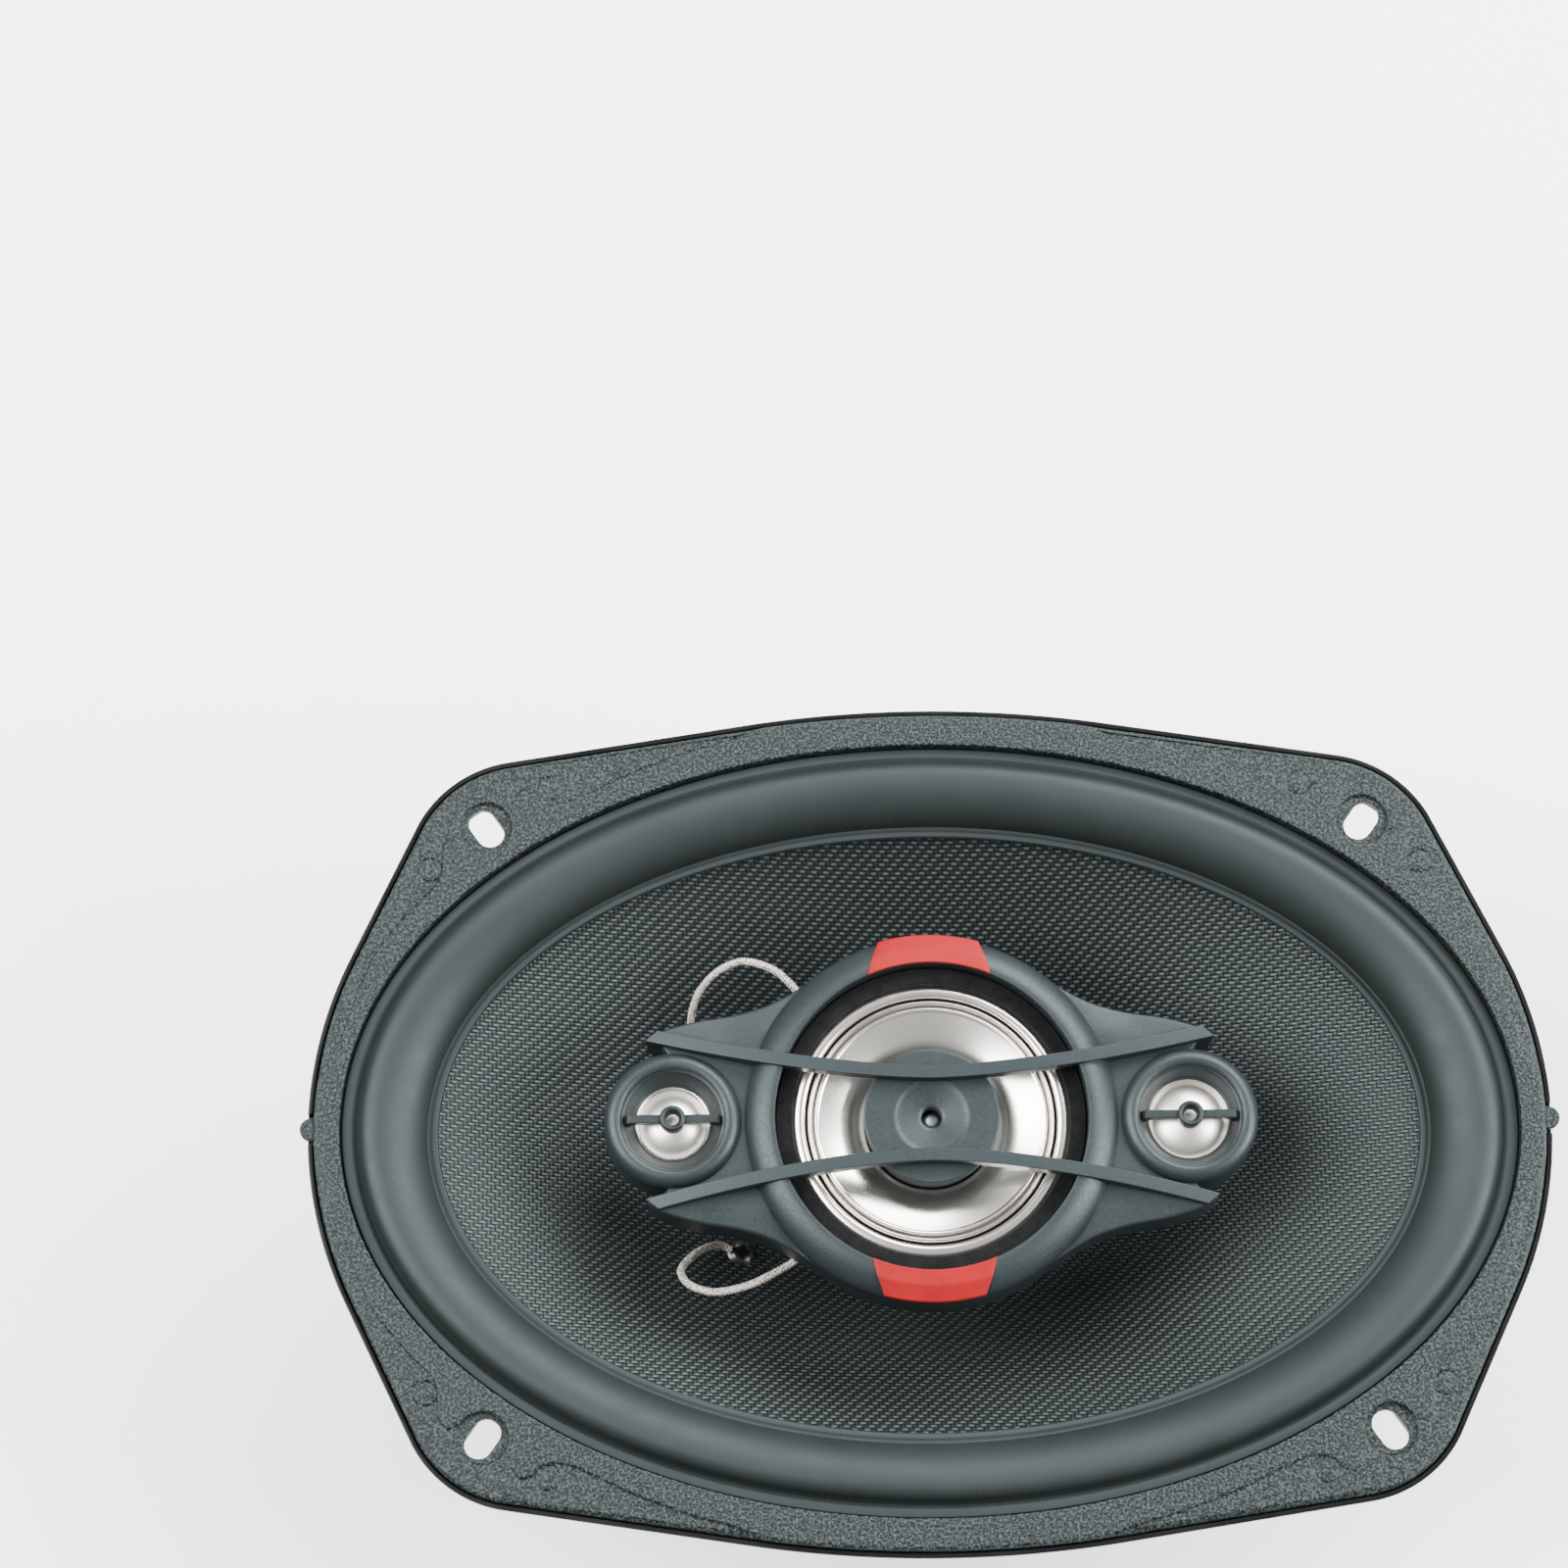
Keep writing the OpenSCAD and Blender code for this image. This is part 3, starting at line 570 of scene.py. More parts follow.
def moulding(slot, dark, light, rough, grain=0.32, depth=0.02, specks=True, **shader):
    f = Finish(slot, light, rough, Specular_IOR_Level=0.3, Specular_Tint=COOL, **shader)
    base = f.colour(f.noise(25, 3), dark, light)
    if specks:
        f.dust(base, 2.4, 0.035, (0.07, 0.075, 0.075))
    f.rough(f.noise(grain * 2, 3), rough * 0.88, rough * 1.14)
    f.bump(f.noise(grain, 2), depth)


def red_plastic():
    f = Finish("red_plastic", (0.2, 0.005, 0.006), 0.5, Specular_IOR_Level=0.12)
    f.colour(f.noise(8, 3), (0.175, 0.0045, 0.006), (0.215, 0.006, 0.0075))
    f.rough(f.noise(2, 3), 0.46, 0.54)
    f.bump(f.noise(0.45, 2), 0.008)


# Radius of each groove round the midrange, and how far painted shade darkens the foil there.
MID_GROOVE_SHADE = [(22.15, 0.5), (23.6, 0.85)]


def silver_film():
    """Satin foil, duller on the tweeters; painted shade darkens the grooves round the midrange."""
    f = Finish("silver_film", (0.80, 0.765, 0.72), 0.24, Metallic=1.0)
    squares = [f.math("POWER", f.math("ABSOLUTE", axis), 2.0) for axis in f.axes()[:2]]
    radius = f.math("POWER", f.math("ADD", *squares), 0.5)
    tone_and_groove_shade = f.spread(f.noise(9, 3), 0.9, 1.0, 0.3, 0.7)
    # Painted shade: the foil turns near black along each groove round the midrange, over a tone that varies
    # at random.
    for groove, depth in MID_GROOVE_SHADE:
        away = f.math("ABSOLUTE", f.math("SUBTRACT", radius, groove * MM))
        tone_and_groove_shade = f.math("MULTIPLY", tone_and_groove_shade, f.spread(away, 1 - depth, 1.0, 0.08 * MM, 0.34 * MM))
    f.colour(tone_and_groove_shade, (0.02, 0.019, 0.017), (0.88, 0.835, 0.77), 0.0, 1.0)
    f.rough(radius, 0.23, 0.38, 30 * MM, 40 * MM)
    f.bump(f.noise(5, 1), 0.0012)


def gasket_foam():
    f = Finish("gasket_foam", (0.002, 0.002, 0.002), 0.8, Specular_IOR_Level=0.12)
    f.colour(f.noise(1.0, 3), (0.0015, 0.0017, 0.0018), (0.004, 0.0043, 0.0045))
    f.rough(f.noise(3, 2), 0.7, 0.9)
    f.bump(f.noise(0.3, 3), 0.03)


WARP_PITCH = 0.78
WEFT_PITCH = 0.71
SLATE = (0.0090, 0.0118, 0.0126)
SLATE_LIGHT = (0.0115, 0.0150, 0.0160)
SLATE_PALE = (0.0140, 0.0182, 0.0193)
for make in (steel_black, trim_plastic, surround_rubber, woven_cone, spider_cloth, copper_wire,
             black_glue, ferrite, board_phenolic, braided_lead, red_plastic, gasket_foam, silver_film):
    make()
metal("coil_aluminium", (0.8, 0.81, 0.82), 0.3)
metal("zinc_plate", (0.36, 0.37, 0.38), 0.36, 0.8, depth=0.006)
metal("neodymium", (0.7, 0.7, 0.71), 0.2)
metal("turned_aluminium", (0.75, 0.76, 0.77), 0.26, 0.5, (0.1, 0.1, 4))
metal("terminal_brass", (0.78, 0.6, 0.28), 0.27, 0.6, (0.3, 3, 1))
metal("silver_ring", (0.84, 0.82, 0.78), 0.26, 3, depth=0.002)
moulding("bridge_plastic", SLATE, SLATE_LIGHT, 0.42, 0.4, 0.03)
moulding("cover_plastic", (0.005, 0.006, 0.0065), (0.008, 0.009, 0.010), 0.5)
moulding("blade_plastic", SLATE_LIGHT, SLATE_PALE, 0.38, 0.3, 0.012)
moulding("capacitor_sleeve", (0.02, 0.03, 0.08), (0.03, 0.045, 0.12), 0.25, Coat_Weight=0.4)
moulding("bezel_plastic", (0.0075, 0.0098, 0.0104), (0.0095, 0.0122, 0.013), 0.4, 1.5, 0.003, False)


# ---- flange and basket

END_RADIUS = 77
CORNER_RADIUS = 23.6
SIDE_RADIUS = 230
END_ANGLE = 25.5
SIDE_ANGLE = 81.25
HALF_LENGTH = highest("basket").x
HALF_WIDTH = highest("basket").y
END_X = HALF_LENGTH - END_RADIUS
SIDE_Y = HALF_WIDTH - SIDE_RADIUS
CORNER = (HALF_LENGTH - 41.2, HALF_WIDTH - 33)
SLOT_PLACE = (84.5, 59)
SLOT_ANGLE = 55
SLOT_LENGTH = 8.0
SLOT_WIDTH = 5.4
SHEET = 1.2
LIP_TOP = highest("basket").z
TRIM_TOP = highest("trim_ring").z
TRIM_INSET = 1.2
NOTCH_HALF = 2.85
QUADRANTS = [(1, 1), (-1, 1), (-1, -1), (1, -1)]


def flange_outline(inset):
    notch = [0, 1.0, 2.02, 2.27]
    end = [(END_X + (END_RADIUS - inset) * math.cos(math.radians(a)),
            (END_RADIUS - inset) * math.sin(math.radians(a)))
           for a in notch + list(np.linspace(3.5, END_ANGLE, 16))]
    corner = arc(CORNER, CORNER_RADIUS - inset, END_ANGLE, SIDE_ANGLE, 18)[1:]
    side = arc((0, SIDE_Y), SIDE_RADIUS - inset, SIDE_ANGLE, 90, 22)[1:]
    return four_way(end + corner + side)


def slot_outline(place, angle, corner, steps=8):
    """A rounded opening along a direction; the steel has small corners, the plastic round ends."""
    x, y = SLOT_LENGTH / 2 - corner, SLOT_WIDTH / 2 - corner
    ends = (arc((x, -y), corner, -90, 0, steps) + arc((x, y), corner, 0, 90, steps)[1:]
            + arc((-x, y), corner, 90, 180, steps) + arc((-x, -y), corner, 180, 270, steps)[1:])
    c, s = math.cos(math.radians(angle)), math.sin(math.radians(angle))
    return [(place[0] + x * c - y * s, place[1] + x * s + y * c) for x, y in ends]


def rings_of(shell, section, steps=240):
    """Oval loops from (half length, half width, height)."""
    return [shell.loop(at_height(oval(a, b, steps), z)) for a, b, z in section]


def basket_flange():
    shell = Shell()

    def level(inset, z):
        points = []
        for x, y in flange_outline(inset):
            points.append((x, y, min(z, SHEET) if abs(y) < NOTCH_HALF else z))
        return shell.loop(points)

    lip = [level(*step) for step in [
        (2.2, SHEET), (1.3, SHEET + 0.06), (0.98, SHEET + 0.3), (0.93, LIP_TOP - 0.12),
        (0.85, LIP_TOP - 0.03), (0.7, LIP_TOP), (0.16, LIP_TOP), (0.05, LIP_TOP - 0.05),
        (0, LIP_TOP - 0.16), (0.1, 1.1), (0.3, 0.5), (0.6, 0.12), (1.0, 0)]]
    shell.skin(lip)
    throat = rings_of(shell, [
        (108.9, 72.1, SHEET), (108.0, 71.2, SHEET - 0.2), (107.3, 70.5, 0.3), (106.4, 69.6, -2.6),
        (106.5, 69.8, -3.2), (107.4, 70.6, -3), (108.4, 71.6, -0.9), (108.9, 72.1, -0.25),
        (109.7, 72.9, 0)])
    shell.skin(throat)
    tops, bottoms = [], []
    for x, y in QUADRANTS:
        hole = slot_outline((x * SLOT_PLACE[0], y * SLOT_PLACE[1]), x * y * SLOT_ANGLE, 0.9)
        tops.append(shell.loop(at_height(hole, SHEET)))
        bottoms.append(shell.loop(at_height(hole, 0)))
        shell.strip(tops[-1], bottoms[-1])
    shell.patch([lip[0], throat[0], *tops])
    shell.patch([lip[-1], throat[-1], *bottoms])
    shell.ride("basket")


WALL_PATH = [(107.3, 70.5, -2.7), (104.6, 67.8, -12), (57.6, 57.6, -44), (57.2, 57.2, -46.9)]
LEGS = 8
LEG_HALF = 6.5
WINDOW = (-8, -41)
WINDOW_CORNER = 7


def basket_wall():
    """The slanting wall: eight legs with a pressed rib, and a window between each two."""
    path = soften(WALL_PATH, 6, 6, closed=False)
    dense = np.array([mix(a, b, t) for a, b in zip(path, path[1:]) for t in np.linspace(0, 1, 24)])
    run = np.concatenate([[0], np.cumsum(np.linalg.norm(np.diff(dense, axis=0), axis=1))])
    top_run = np.interp(-WINDOW[0], -dense[:, 2], run)
    low_run = np.interp(-WINDOW[1], -dense[:, 2], run)
    curve = (1 - np.cos(np.linspace(0, math.pi / 2, 6))) * WINDOW_CORNER
    rows = np.concatenate([np.linspace(0, top_run, 5)[:-1], top_run + curve,
                           np.linspace(top_run + WINDOW_CORNER, low_run - WINDOW_CORNER, 12)[1:-1],
                           low_run - curve[::-1], np.linspace(low_run, run[-1], 5)[1:]])
    leg_steps, gap_steps = 7, 8
    columns = 2 * leg_steps + gap_steps
    bay = 2 * math.pi / LEGS
    shell = Shell()
    loops = []
    for row in rows:
        a, b, z = (np.interp(row, run, dense[:, k]) for k in range(3))
        depth = min(max(min(row - top_run, low_run - row), 0), WINDOW_CORNER)
        corner = WINDOW_CORNER - math.sqrt(WINDOW_CORNER ** 2 - (WINDOW_CORNER - depth) ** 2)
        fade = float(smooth(min(row, run[-1] - row) / 9))
        points = []

        def speed(angle):
            """Millimetres of the oval for each radian."""
            return math.hypot(a * math.sin(angle), b * math.cos(angle))

        for leg in range(LEGS):
            middle = bay * leg
            edges = [(LEG_HALF + corner) / speed(angle) for angle in (middle, middle + bay)]
            turns = np.concatenate([np.linspace(0, edges[0], leg_steps + 1),
                                    np.linspace(edges[0], bay - edges[1], gap_steps + 1)[1:],
                                    np.linspace(bay - edges[1], bay, leg_steps + 1)[1:-1]])
            for turn in turns:
                angle = middle + turn
                away = min(turn, bay - turn) * speed(angle)
                rib = 1.0 * math.exp(-(away / 2.4) ** 4) * fade
                points.append(((a + rib) * math.cos(angle), (b + rib) * math.sin(angle), z))
        loops.append(shell.loop(points))
    for row, (upper, lower) in enumerate(zip(loops, loops[1:])):
        open_row = top_run - 1e-6 <= rows[row] and rows[row + 1] <= low_run + 1e-6
        for i in range(len(upper)):
            column = i % columns
            if open_row and leg_steps <= column < leg_steps + gap_steps:
                continue
            j = (i + 1) % len(upper)
            shell.faces.append((upper[i], lower[i], lower[j], upper[j]))
    wall = shell.piece("basket_wall", "basket")
    modify(wall, "sheet", "SOLIDIFY", thickness=SHEET * MM, offset=-1, use_even_offset=True)
    modify(wall, "edge", "BEVEL", width=0.25 * MM, segments=2, limit_method="ANGLE",
           angle_limit=math.radians(50))
    modify(wall, "even_shading", "WEIGHTED_NORMAL", keep_sharp=True)
    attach(wall, "frame")


def basket_cup():
    shell = Shell()
    shell.turned(soften([(24, -56), (51, -56), (51, -47.2), (57.6, -47.2), (57.6, -46), (49.8, -46),
                         (49.8, -54.8), (24, -54.8)], 1.1, 4))
    shell.slab(rounded_box((-64.5, 0), (19, 22), 3), -47.2, -46, 0.2)
    shell.ride("basket", "basket_cup")


# ---- trim ring

RELIEF_STEP = 0.4
RELIEF_WIDTH = 0.7
RELIEF_LINE = [(28, 80.5), (33, 77.8), (39.1, 75.6), (46.4, 73.5), (56.3, 69.7), (62.8, 66.6),
               (68.2, 64.2), (71.2, 63.9), (73.6, 64.8), (75.9, 66.4), (77.6, 66.4), (78.8, 64.8),
               (80.2, 61.6), (84.5, 59), (89, 56.6), (90.4, 57.2), (91.6, 56.8), (92.6, 55.2),
               (93, 52), (93.3, 48.8), (94.8, 46.6), (99, 42.3), (103.6, 36.8), (106.2, 32.7),
               (109, 26), (112.5, 16), (120, 2)]
MARKS = [(95.3, 50.6), (72.4, 66.6)]
MARK_RADIUS = 2.3
MARK_DEPTH = 0.26
COUNTERBORE = 4.9
COUNTERBORE_FLOOR = 2.9


def trim_surface(points, line):
    """Height of the trim ring's face: a raised inner zone, a lower outer one and round marks."""
    p = np.abs(np.array(points, float)[:, :2])
    distance = nearest(p, line)
    lower = inside(p, [np.concatenate([line, [(140, 2), (140, 120), (28, 120)]])])
    signed = np.where(lower, distance, -distance)
    z = TRIM_TOP - RELIEF_STEP * smooth(signed / RELIEF_WIDTH + 0.5)
    for mark in MARKS:
        away = np.hypot(*(p - mark).T)
        z -= MARK_DEPTH * np.exp(-((away - MARK_RADIUS) / 0.22) ** 2)
    return z


def trim_ring():
    line = np.array(through(RELIEF_LINE, 24))
    shell = Shell()

    def on_face(points, drop=0.0):
        return [(x, y, z) for (x, y), z in zip(points, trim_surface(points, line) - drop)]

    def ground(points, drop):
        return shell.loop(on_face(points, drop))

    outer = [ground(flange_outline(TRIM_INSET + inset), drop) for inset, drop in rounding(0.9, 5)]
    base = shell.loop(at_height(flange_outline(TRIM_INSET), SHEET))
    shell.skin([base, *outer])
    hole = (111.9, 74.7)
    inner = [ground(oval(hole[0] + inset, hole[1] + inset), drop) for inset, drop in rounding(0.4, 3)]
    foot = shell.loop(at_height(oval(*hole), SHEET))
    shell.skin([foot, *inner])
    bores, feet = [], []
    for sx, sy in QUADRANTS:
        centre = (sx * SLOT_PLACE[0], sy * SLOT_PLACE[1])
        rims = [ground(circle(COUNTERBORE + inset, centre, 64), drop) for inset, drop in rounding(0.35, 3)]
        slot = slot_outline(centre, sx * sy * SLOT_ANGLE, 2.68)
        floor = [shell.loop(at_height(circle(r, centre, 64), z))
                 for r, z in ((COUNTERBORE, COUNTERBORE_FLOOR + 0.3),
                              (COUNTERBORE - 0.3, COUNTERBORE_FLOOR))]
        shell.skin([floor[1], floor[0], *rims])
        lips = [shell.loop(at_height(turned_in(slot, -0.2), COUNTERBORE_FLOOR)),
                shell.loop(at_height(slot, COUNTERBORE_FLOOR - 0.2)),
                shell.loop(at_height(slot, SHEET))]
        shell.skin(lips)
        shell.patch([floor[1], lips[0]])
        bores.append(rims[-1])
        feet.append(lips[-1])
    shell.patch([base, foot, *feet])
    tops = [outer[-1], inner[-1], *bores]
    edges = [[shell.points[i][:2] for i in ring] for ring in tops]
    coarse = scatter(edges, 1.4, 0.6)
    ahead = np.gradient(line, axis=0)
    across = np.stack([-ahead[:, 1], ahead[:, 0]], 1) / np.linalg.norm(ahead, axis=1)[:, None]
    fine = [line[::3] + across[::3] * d for d in np.linspace(-0.6, 0.6, 7) * RELIEF_WIDTH]
    for mark in MARKS:
        fine += [np.array(circle(r, mark, 30)) for r in MARK_RADIUS + np.linspace(-0.5, 0.5, 5)]
    fine = np.concatenate(fine)
    fine = np.concatenate([fine * s for s in QUADRANTS])
    fine = fine[inside(fine, edges)]
    fine = fine[nearest(fine, np.concatenate([np.array(e) for e in edges])) > 0.12]
    coarse = coarse[nearest(coarse, fine) > 0.7]
    shell.patch(tops, on_face(np.concatenate([coarse, fine])))
    for s in (-1, 1):
        nub = [(s * (HALF_LENGTH - 2.6) + s * x, y) for x, y in
               [(0, 2.2)] + arc((1.9, 0), 2.2, 90, -90, 10) + [(0, -2.2)]]
        outline = nub if s < 0 else nub[::-1]
        shell.slab(outline, SHEET, SHEET + 1.9, 0.35)
    shell.ride("trim_ring", sharp=40)


# ---- cone, surround and spider

GROOVE = np.array([108.4, 71.5, 1.7])
CONE_RIM = np.array([95.6, 60, -3.6])
ROLL_HEIGHT = 5
RUBBER = 0.8
NECK = 19.6
NECK_DEPTH = 42
CONE_SKIN = 0.8


def roll_points(height, margin, steps=30):
    inner_edge = CONE_RIM + (0, 0, 1)
    points = []
    for a in np.linspace(0, math.pi, steps + 1):
        t = margin + (1 - 2 * margin) * (1 - math.cos(a)) / 2
        points.append(mix(GROOVE, inner_edge, t) + (0, 0, height * math.sin(a) ** 0.92))
    return points


def surround():
    """Half roll of rubber, with a flat strip under the trim ring and a flap glued on the cone."""
    top = soften([(111.6, 74.4, 1.25), (111.6, 74.4, 2), (109.8, 72.8, 2), (108.9, 72, 1.45)], 0.25, 3,
                 closed=False)
    top += roll_points(ROLL_HEIGHT, 0)[1:]
    top += soften([(95.2, 59.6, -2.75), (94.6, 59, -2.45), (93.7, 58.1, -2.55), (93.5, 57.9, -3.1)],
                  0.25, 3, closed=False)
    under = roll_points(ROLL_HEIGHT - RUBBER, 0.05)[::-1]
    under = [p - (0, 0, 0.55) if i < 2 else p for i, p in enumerate(under)]
    section = top + under[:-1] + [(108.2, 71.3, 1.25)]
    shell = Shell()
    shell.skin(rings_of(shell, section, 288), closed=True)
    shell.bend("surround", sharp=50)


def cone_rows(lift, steps=36):
    """The cone's section from its rim to its neck, a little curved, raised by the lift."""
    return [(mix(NECK, CONE_RIM[0], t), mix(NECK, CONE_RIM[1], t),
             mix(-NECK_DEPTH, CONE_RIM[2], t ** 0.92) + lift) for t in np.linspace(1, 0, steps + 1)]


def cone():
    shell = Shell()
    shell.skin(rings_of(shell, cone_rows(0) + cone_rows(-CONE_SKIN)[::-1]), closed=True)
    shell.ride("cone", sharp=60)
    collar = [(19.65, -42.6), (20.6, -42.4), (23.4, -40.7), (20.8, -40.2), (19.65, -39.6)]
    turned_piece("lead_eyelets", collar, 0.8, 4, "neck_glue")


def spider():
    waves, inner, outer, cloth, middle = 5, 19.9, 49.5, 0.6, -45.4
    radii = np.linspace(inner + 1, outer, 101)
    top = [(r, middle + 1.1 * math.sin(2 * math.pi * waves * k / 100)) for k, r in enumerate(radii)]
    profile = [(inner, middle + 1.2), (inner, middle - cloth)]
    profile += [(r, z - cloth) for r, z in top] + [(55.5, -46), (55.5, middle)] + top[::-1]
    shell = Shell()
    shell.turned(profile)
    shell.bend("spider", sharp=60)


EYELET = (36.2, 18.5, -28.6)


def lead_eyelets():
    """Blobs of black glue over the eyelets where the leads go through the cone."""
    blob = [(0, -2.2), (2.2, -2.2), (3.1, -0.6), (3.2, 0.2), (2.3, 1.3), (1.2, 1.8), (0, 1.9)]
    shell = Shell()
    for side in (-1, 1):
        first = len(shell.points)
        shell.turned(soften(blob, 0.7, 4), steps=40)
        turn = (Matrix.Translation((-EYELET[0], side * EYELET[1], EYELET[2]))
                @ Matrix.Rotation(math.radians(-27 * side), 4, "Z")
                @ Matrix.Rotation(math.radians(28), 4, "Y"))
        shell.place(first, turn)
    shell.ride("lead_eyelets", sharp=70)


# ---- leads

LEAD_RADIUS = 0.7
FRONT_UPPER = [(-38.2, 18.6, -26.2), (-42, 18.8, -24), (-45.3, 20.3, -19), (-45.5, 24.3, -14),
               (-44.2, 28.5, -10), (-41.2, 31.7, -7), (-38, 33.4, -5.5), (-34.8, 33.9, -4.5),
               (-30.4, 32.6, -4.2), (-27.4, 30.6, -4.4), (-24.6, 27.6, -4.8), (-22.4, 24.6, -3.4)]
FRONT_LOWER = [(-38.2, -18.2, -26.2), (-40.6, -17.6, -24.4), (-44, -20, -18), (-46.8, -23.4, -12.4),
               (-47.6, -26, -9), (-45.8, -28.8, -6.5), (-41.4, -30.4, -5), (-35.7, -29.6, -4.4),
               (-30.9, -27.6, -4.4), (-27.4, -25.6, -4.8), (-23.8, -23.4, -3.4)]
REAR_POSITIVE = [(-66.5, 7.6, -43.1), (-66.8, 9.4, -41.8), (-65, 12, -39.4), (-61.4, 14.6, -37.2),
                 (-57, 16.6, -36), (-51, 18.4, -35.2), (-45.6, 19.4, -34.2), (-41, 19.6, -32.8)]
REAR_NEGATIVE = [(x, -y, z) for x, y, z in REAR_POSITIVE]


def lead(node, route, cone_first):
    """A braided lead, one end of which is at the cone; the mesh does not follow the cone."""
    sides, spacing, plait = 28, 0.16, 1.25
    path = np.array(through(route, 30))
    run = np.concatenate([[0], np.cumsum(np.linalg.norm(np.diff(path, axis=0), axis=1))])
    stations = np.linspace(0, run[-1], int(run[-1] / spacing))
    path = np.stack([np.interp(stations, run, path[:, k]) for k in range(3)], 1)
    ahead = np.gradient(path, axis=0)
    ahead /= np.linalg.norm(ahead, axis=1)[:, None]
    side = np.cross(ahead[0], (0.3, 0.2, 1))
    shell = Shell()
    rings = [shell.loop([path[0]])]
    for point, forward, along in zip(path, ahead, stations):
        side = side - forward * (side @ forward)
        side /= np.linalg.norm(side)
        up = np.cross(forward, side)
        ring = []
        for a in np.linspace(0, 2 * math.pi, sides + 1)[:-1]:
            phase = 2 * math.pi * along / plait
            strands = math.sin(4 * a + phase) * math.sin(4 * a - phase)
            ring.append(point + (side * math.cos(a) + up * math.sin(a)) * LEAD_RADIUS * (1 + 0.16 * strands))
        rings.append(shell.loop(ring))
    rings.append(shell.loop([path[-1]]))
    shell.skin(rings)
    share = smooth(stations / run[-1])
    share = 1 - share if cone_first else share
    shell.bend(node, sharp=80)


# ---- motor and terminals

def motor():
    parts = {
        "top_plate": [(21, -61), (45, -61), (45, -56), (21, -56)],
        "magnet": [(22.5, -79), (50, -79), (50, -61), (22.5, -61)],
        "yoke": [(6.4, -84), (45, -84), (45, -79), (18.6, -79), (18.6, -56), (5, -56), (5, -80), (6.4, -80)],
        "bridge_post": [(2.4, -80), (5, -80), (5, -17.2), (0, -17.2), (0, -67), (2.4, -67)],
        "mid_top_plate": [(14.3, -5.5), (22, -5.5), (22, -2.5), (14.3, -2.5)],
        "mid_magnet": [(15.6, -13), (22, -13), (22, -5.5), (15.6, -5.5)],
        "mid_basket": [(0, -17.2), (23.8, -17.2), (25, 3.4), (29.2, 3.4), (29.2, 4.8), (26.6, 4.8),
                       (26.3, 3.9), (24.2, 3.9), (22.6, -16), (0, -16)],
    }
    corners = {"magnet": 1.4, "yoke": 0.9, "top_plate": 0.6}
    for node, profile in parts.items():
        turned_piece(node, profile, corners.get(node, 0.35))


BOARD_TOP = highest("terminal_board").z
TERMINALS = {"terminal_positive": (6, 6.35), "terminal_negative": (-6.5, 4.75)}


def terminals():
    ledge = lowest("terminal_board").z
    board = Shell()
    board.slab(rounded_box((-68, 0), (18, 26), 1.6), ledge, BOARD_TOP, 0.2)
    board.ride("terminal_board")
    for node, (y, width) in TERMINALS.items():
        half = width / 2
        blade = [(-64, y + half), (-85.6, y + half), (-87, y + half - 1.2), (-87, y - half + 1.2),
                 (-85.6, y - half), (-64, y - half)]
        shell = Shell()
        shell.slab(blade, BOARD_TOP, BOARD_TOP + 0.8, 0.14, [circle(0.9, (-83.5, y), 24)])
        shell.slab(rounded_box((-66, y), (3, 0.55 * width), 0.6), BOARD_TOP + 0.7, BOARD_TOP + 1.5, 0.2)
        shell.ride(node)
    rivets = Shell()
    for x in (-64, -72):
        rivets.turned(soften([(0, ledge - 1.9), (1.9, ledge - 1.9), (2.2, ledge - 1.2), (1.5, ledge - 1.2),
                              (1.5, BOARD_TOP), (2.2, BOARD_TOP), (2.0, BOARD_TOP + 0.7),
                              (0, BOARD_TOP + 0.7)], 0.3, 3), (x, -0.6), 40)
    rivets.ride("terminal_rivets")


# ---- bridge

RING_OUTER = 35.3
RING_INNER = 29.5
RING_TOP = 10.6
POD_X = 48.8
POD_RADIUS = 13
POD_LIP = 9.8
BRIDGE_FLOOR = -2
BLADE_REACH = 53.6
BLADE_WIDTH = 2.5
INSET_INNER_ANGLE = 23.2
INSET_OUTER_ANGLE = 15.6
WING_EDGE = [(16.2, 31.0), (21.5, 28.0), (25.9, 25.2), (30.3, 22.8), (34.7, 21.3), (39.1, 20.3),
             (43.5, 19.6), (47.9, 18.5), (51.0, 17.4), (53.5, 15.9)]


def blade_y(x):
    return 7.9 + 2.95 * (abs(x) / 28) ** 1.63


def blade_top(x):
    return highest("blade_upper").z - 3.7 * (x / BLADE_REACH) ** 2


def wing_height(x, y):
    """The wings fall away from the blades; between the blades the housing is flat."""
    outside = np.abs(y) - blade_y(x)
    from_ring = np.hypot(x, y) - RING_OUTER
    shoulder = (1 - smooth(from_ring / 9)) * smooth((outside - 1) / 5)
    return 7.2 + 0.4 * smooth(outside) - 0.16 * np.clip(outside, 0, 14) + 0.6 * shoulder


def bridge_wings():
    """One moulding each side of the ring, which runs into it and round the tweeter pod."""
    upper = [tuple(p) for p in through(WING_EDGE, 6)]
    tip = [(53.6, 15.2), (50.8, 14.3)]
    pod_arc = arc((POD_X, 0), POD_RADIUS - 1.1, 88, 180, 24)
    half = [(14.0, 30.6)] + upper + tip + pod_arc
    ring_start = math.degrees(math.atan2(30.6, 14.0))
    ring_arc = arc((0, 0), math.hypot(14.0, 30.6), -ring_start, ring_start, 60)[1:-1]
    outline = [(x, -y) for x, y in half] + [(x, y) for x, y in half[-2::-1]] + ring_arc[::-1]
    for side, name in ((-1, "bridge_wings_left"), (1, "bridge_wings_right")):
        shell = Shell()
        seen = outline if side > 0 else [(-x, y) for x, y in outline][::-1]
        rings = []
        for inset, drop in rounding(0.6, 4):
            points = turned_in(seen, inset)
            rings.append(shell.loop([(x, y, wing_height(x, y) - drop) for x, y in points]))
        base = shell.loop(at_height(seen, BRIDGE_FLOOR))
        shell.skin([base, *rings])
        shell.patch([base])
        spots = scatter([[shell.points[i][:2] for i in rings[-1]]], 1.3, 0.5)
        shell.patch([rings[-1]], [(x, y, wing_height(x, y)) for x, y in spots])
        shell.ride("bridge_housing", name, sharp=38)


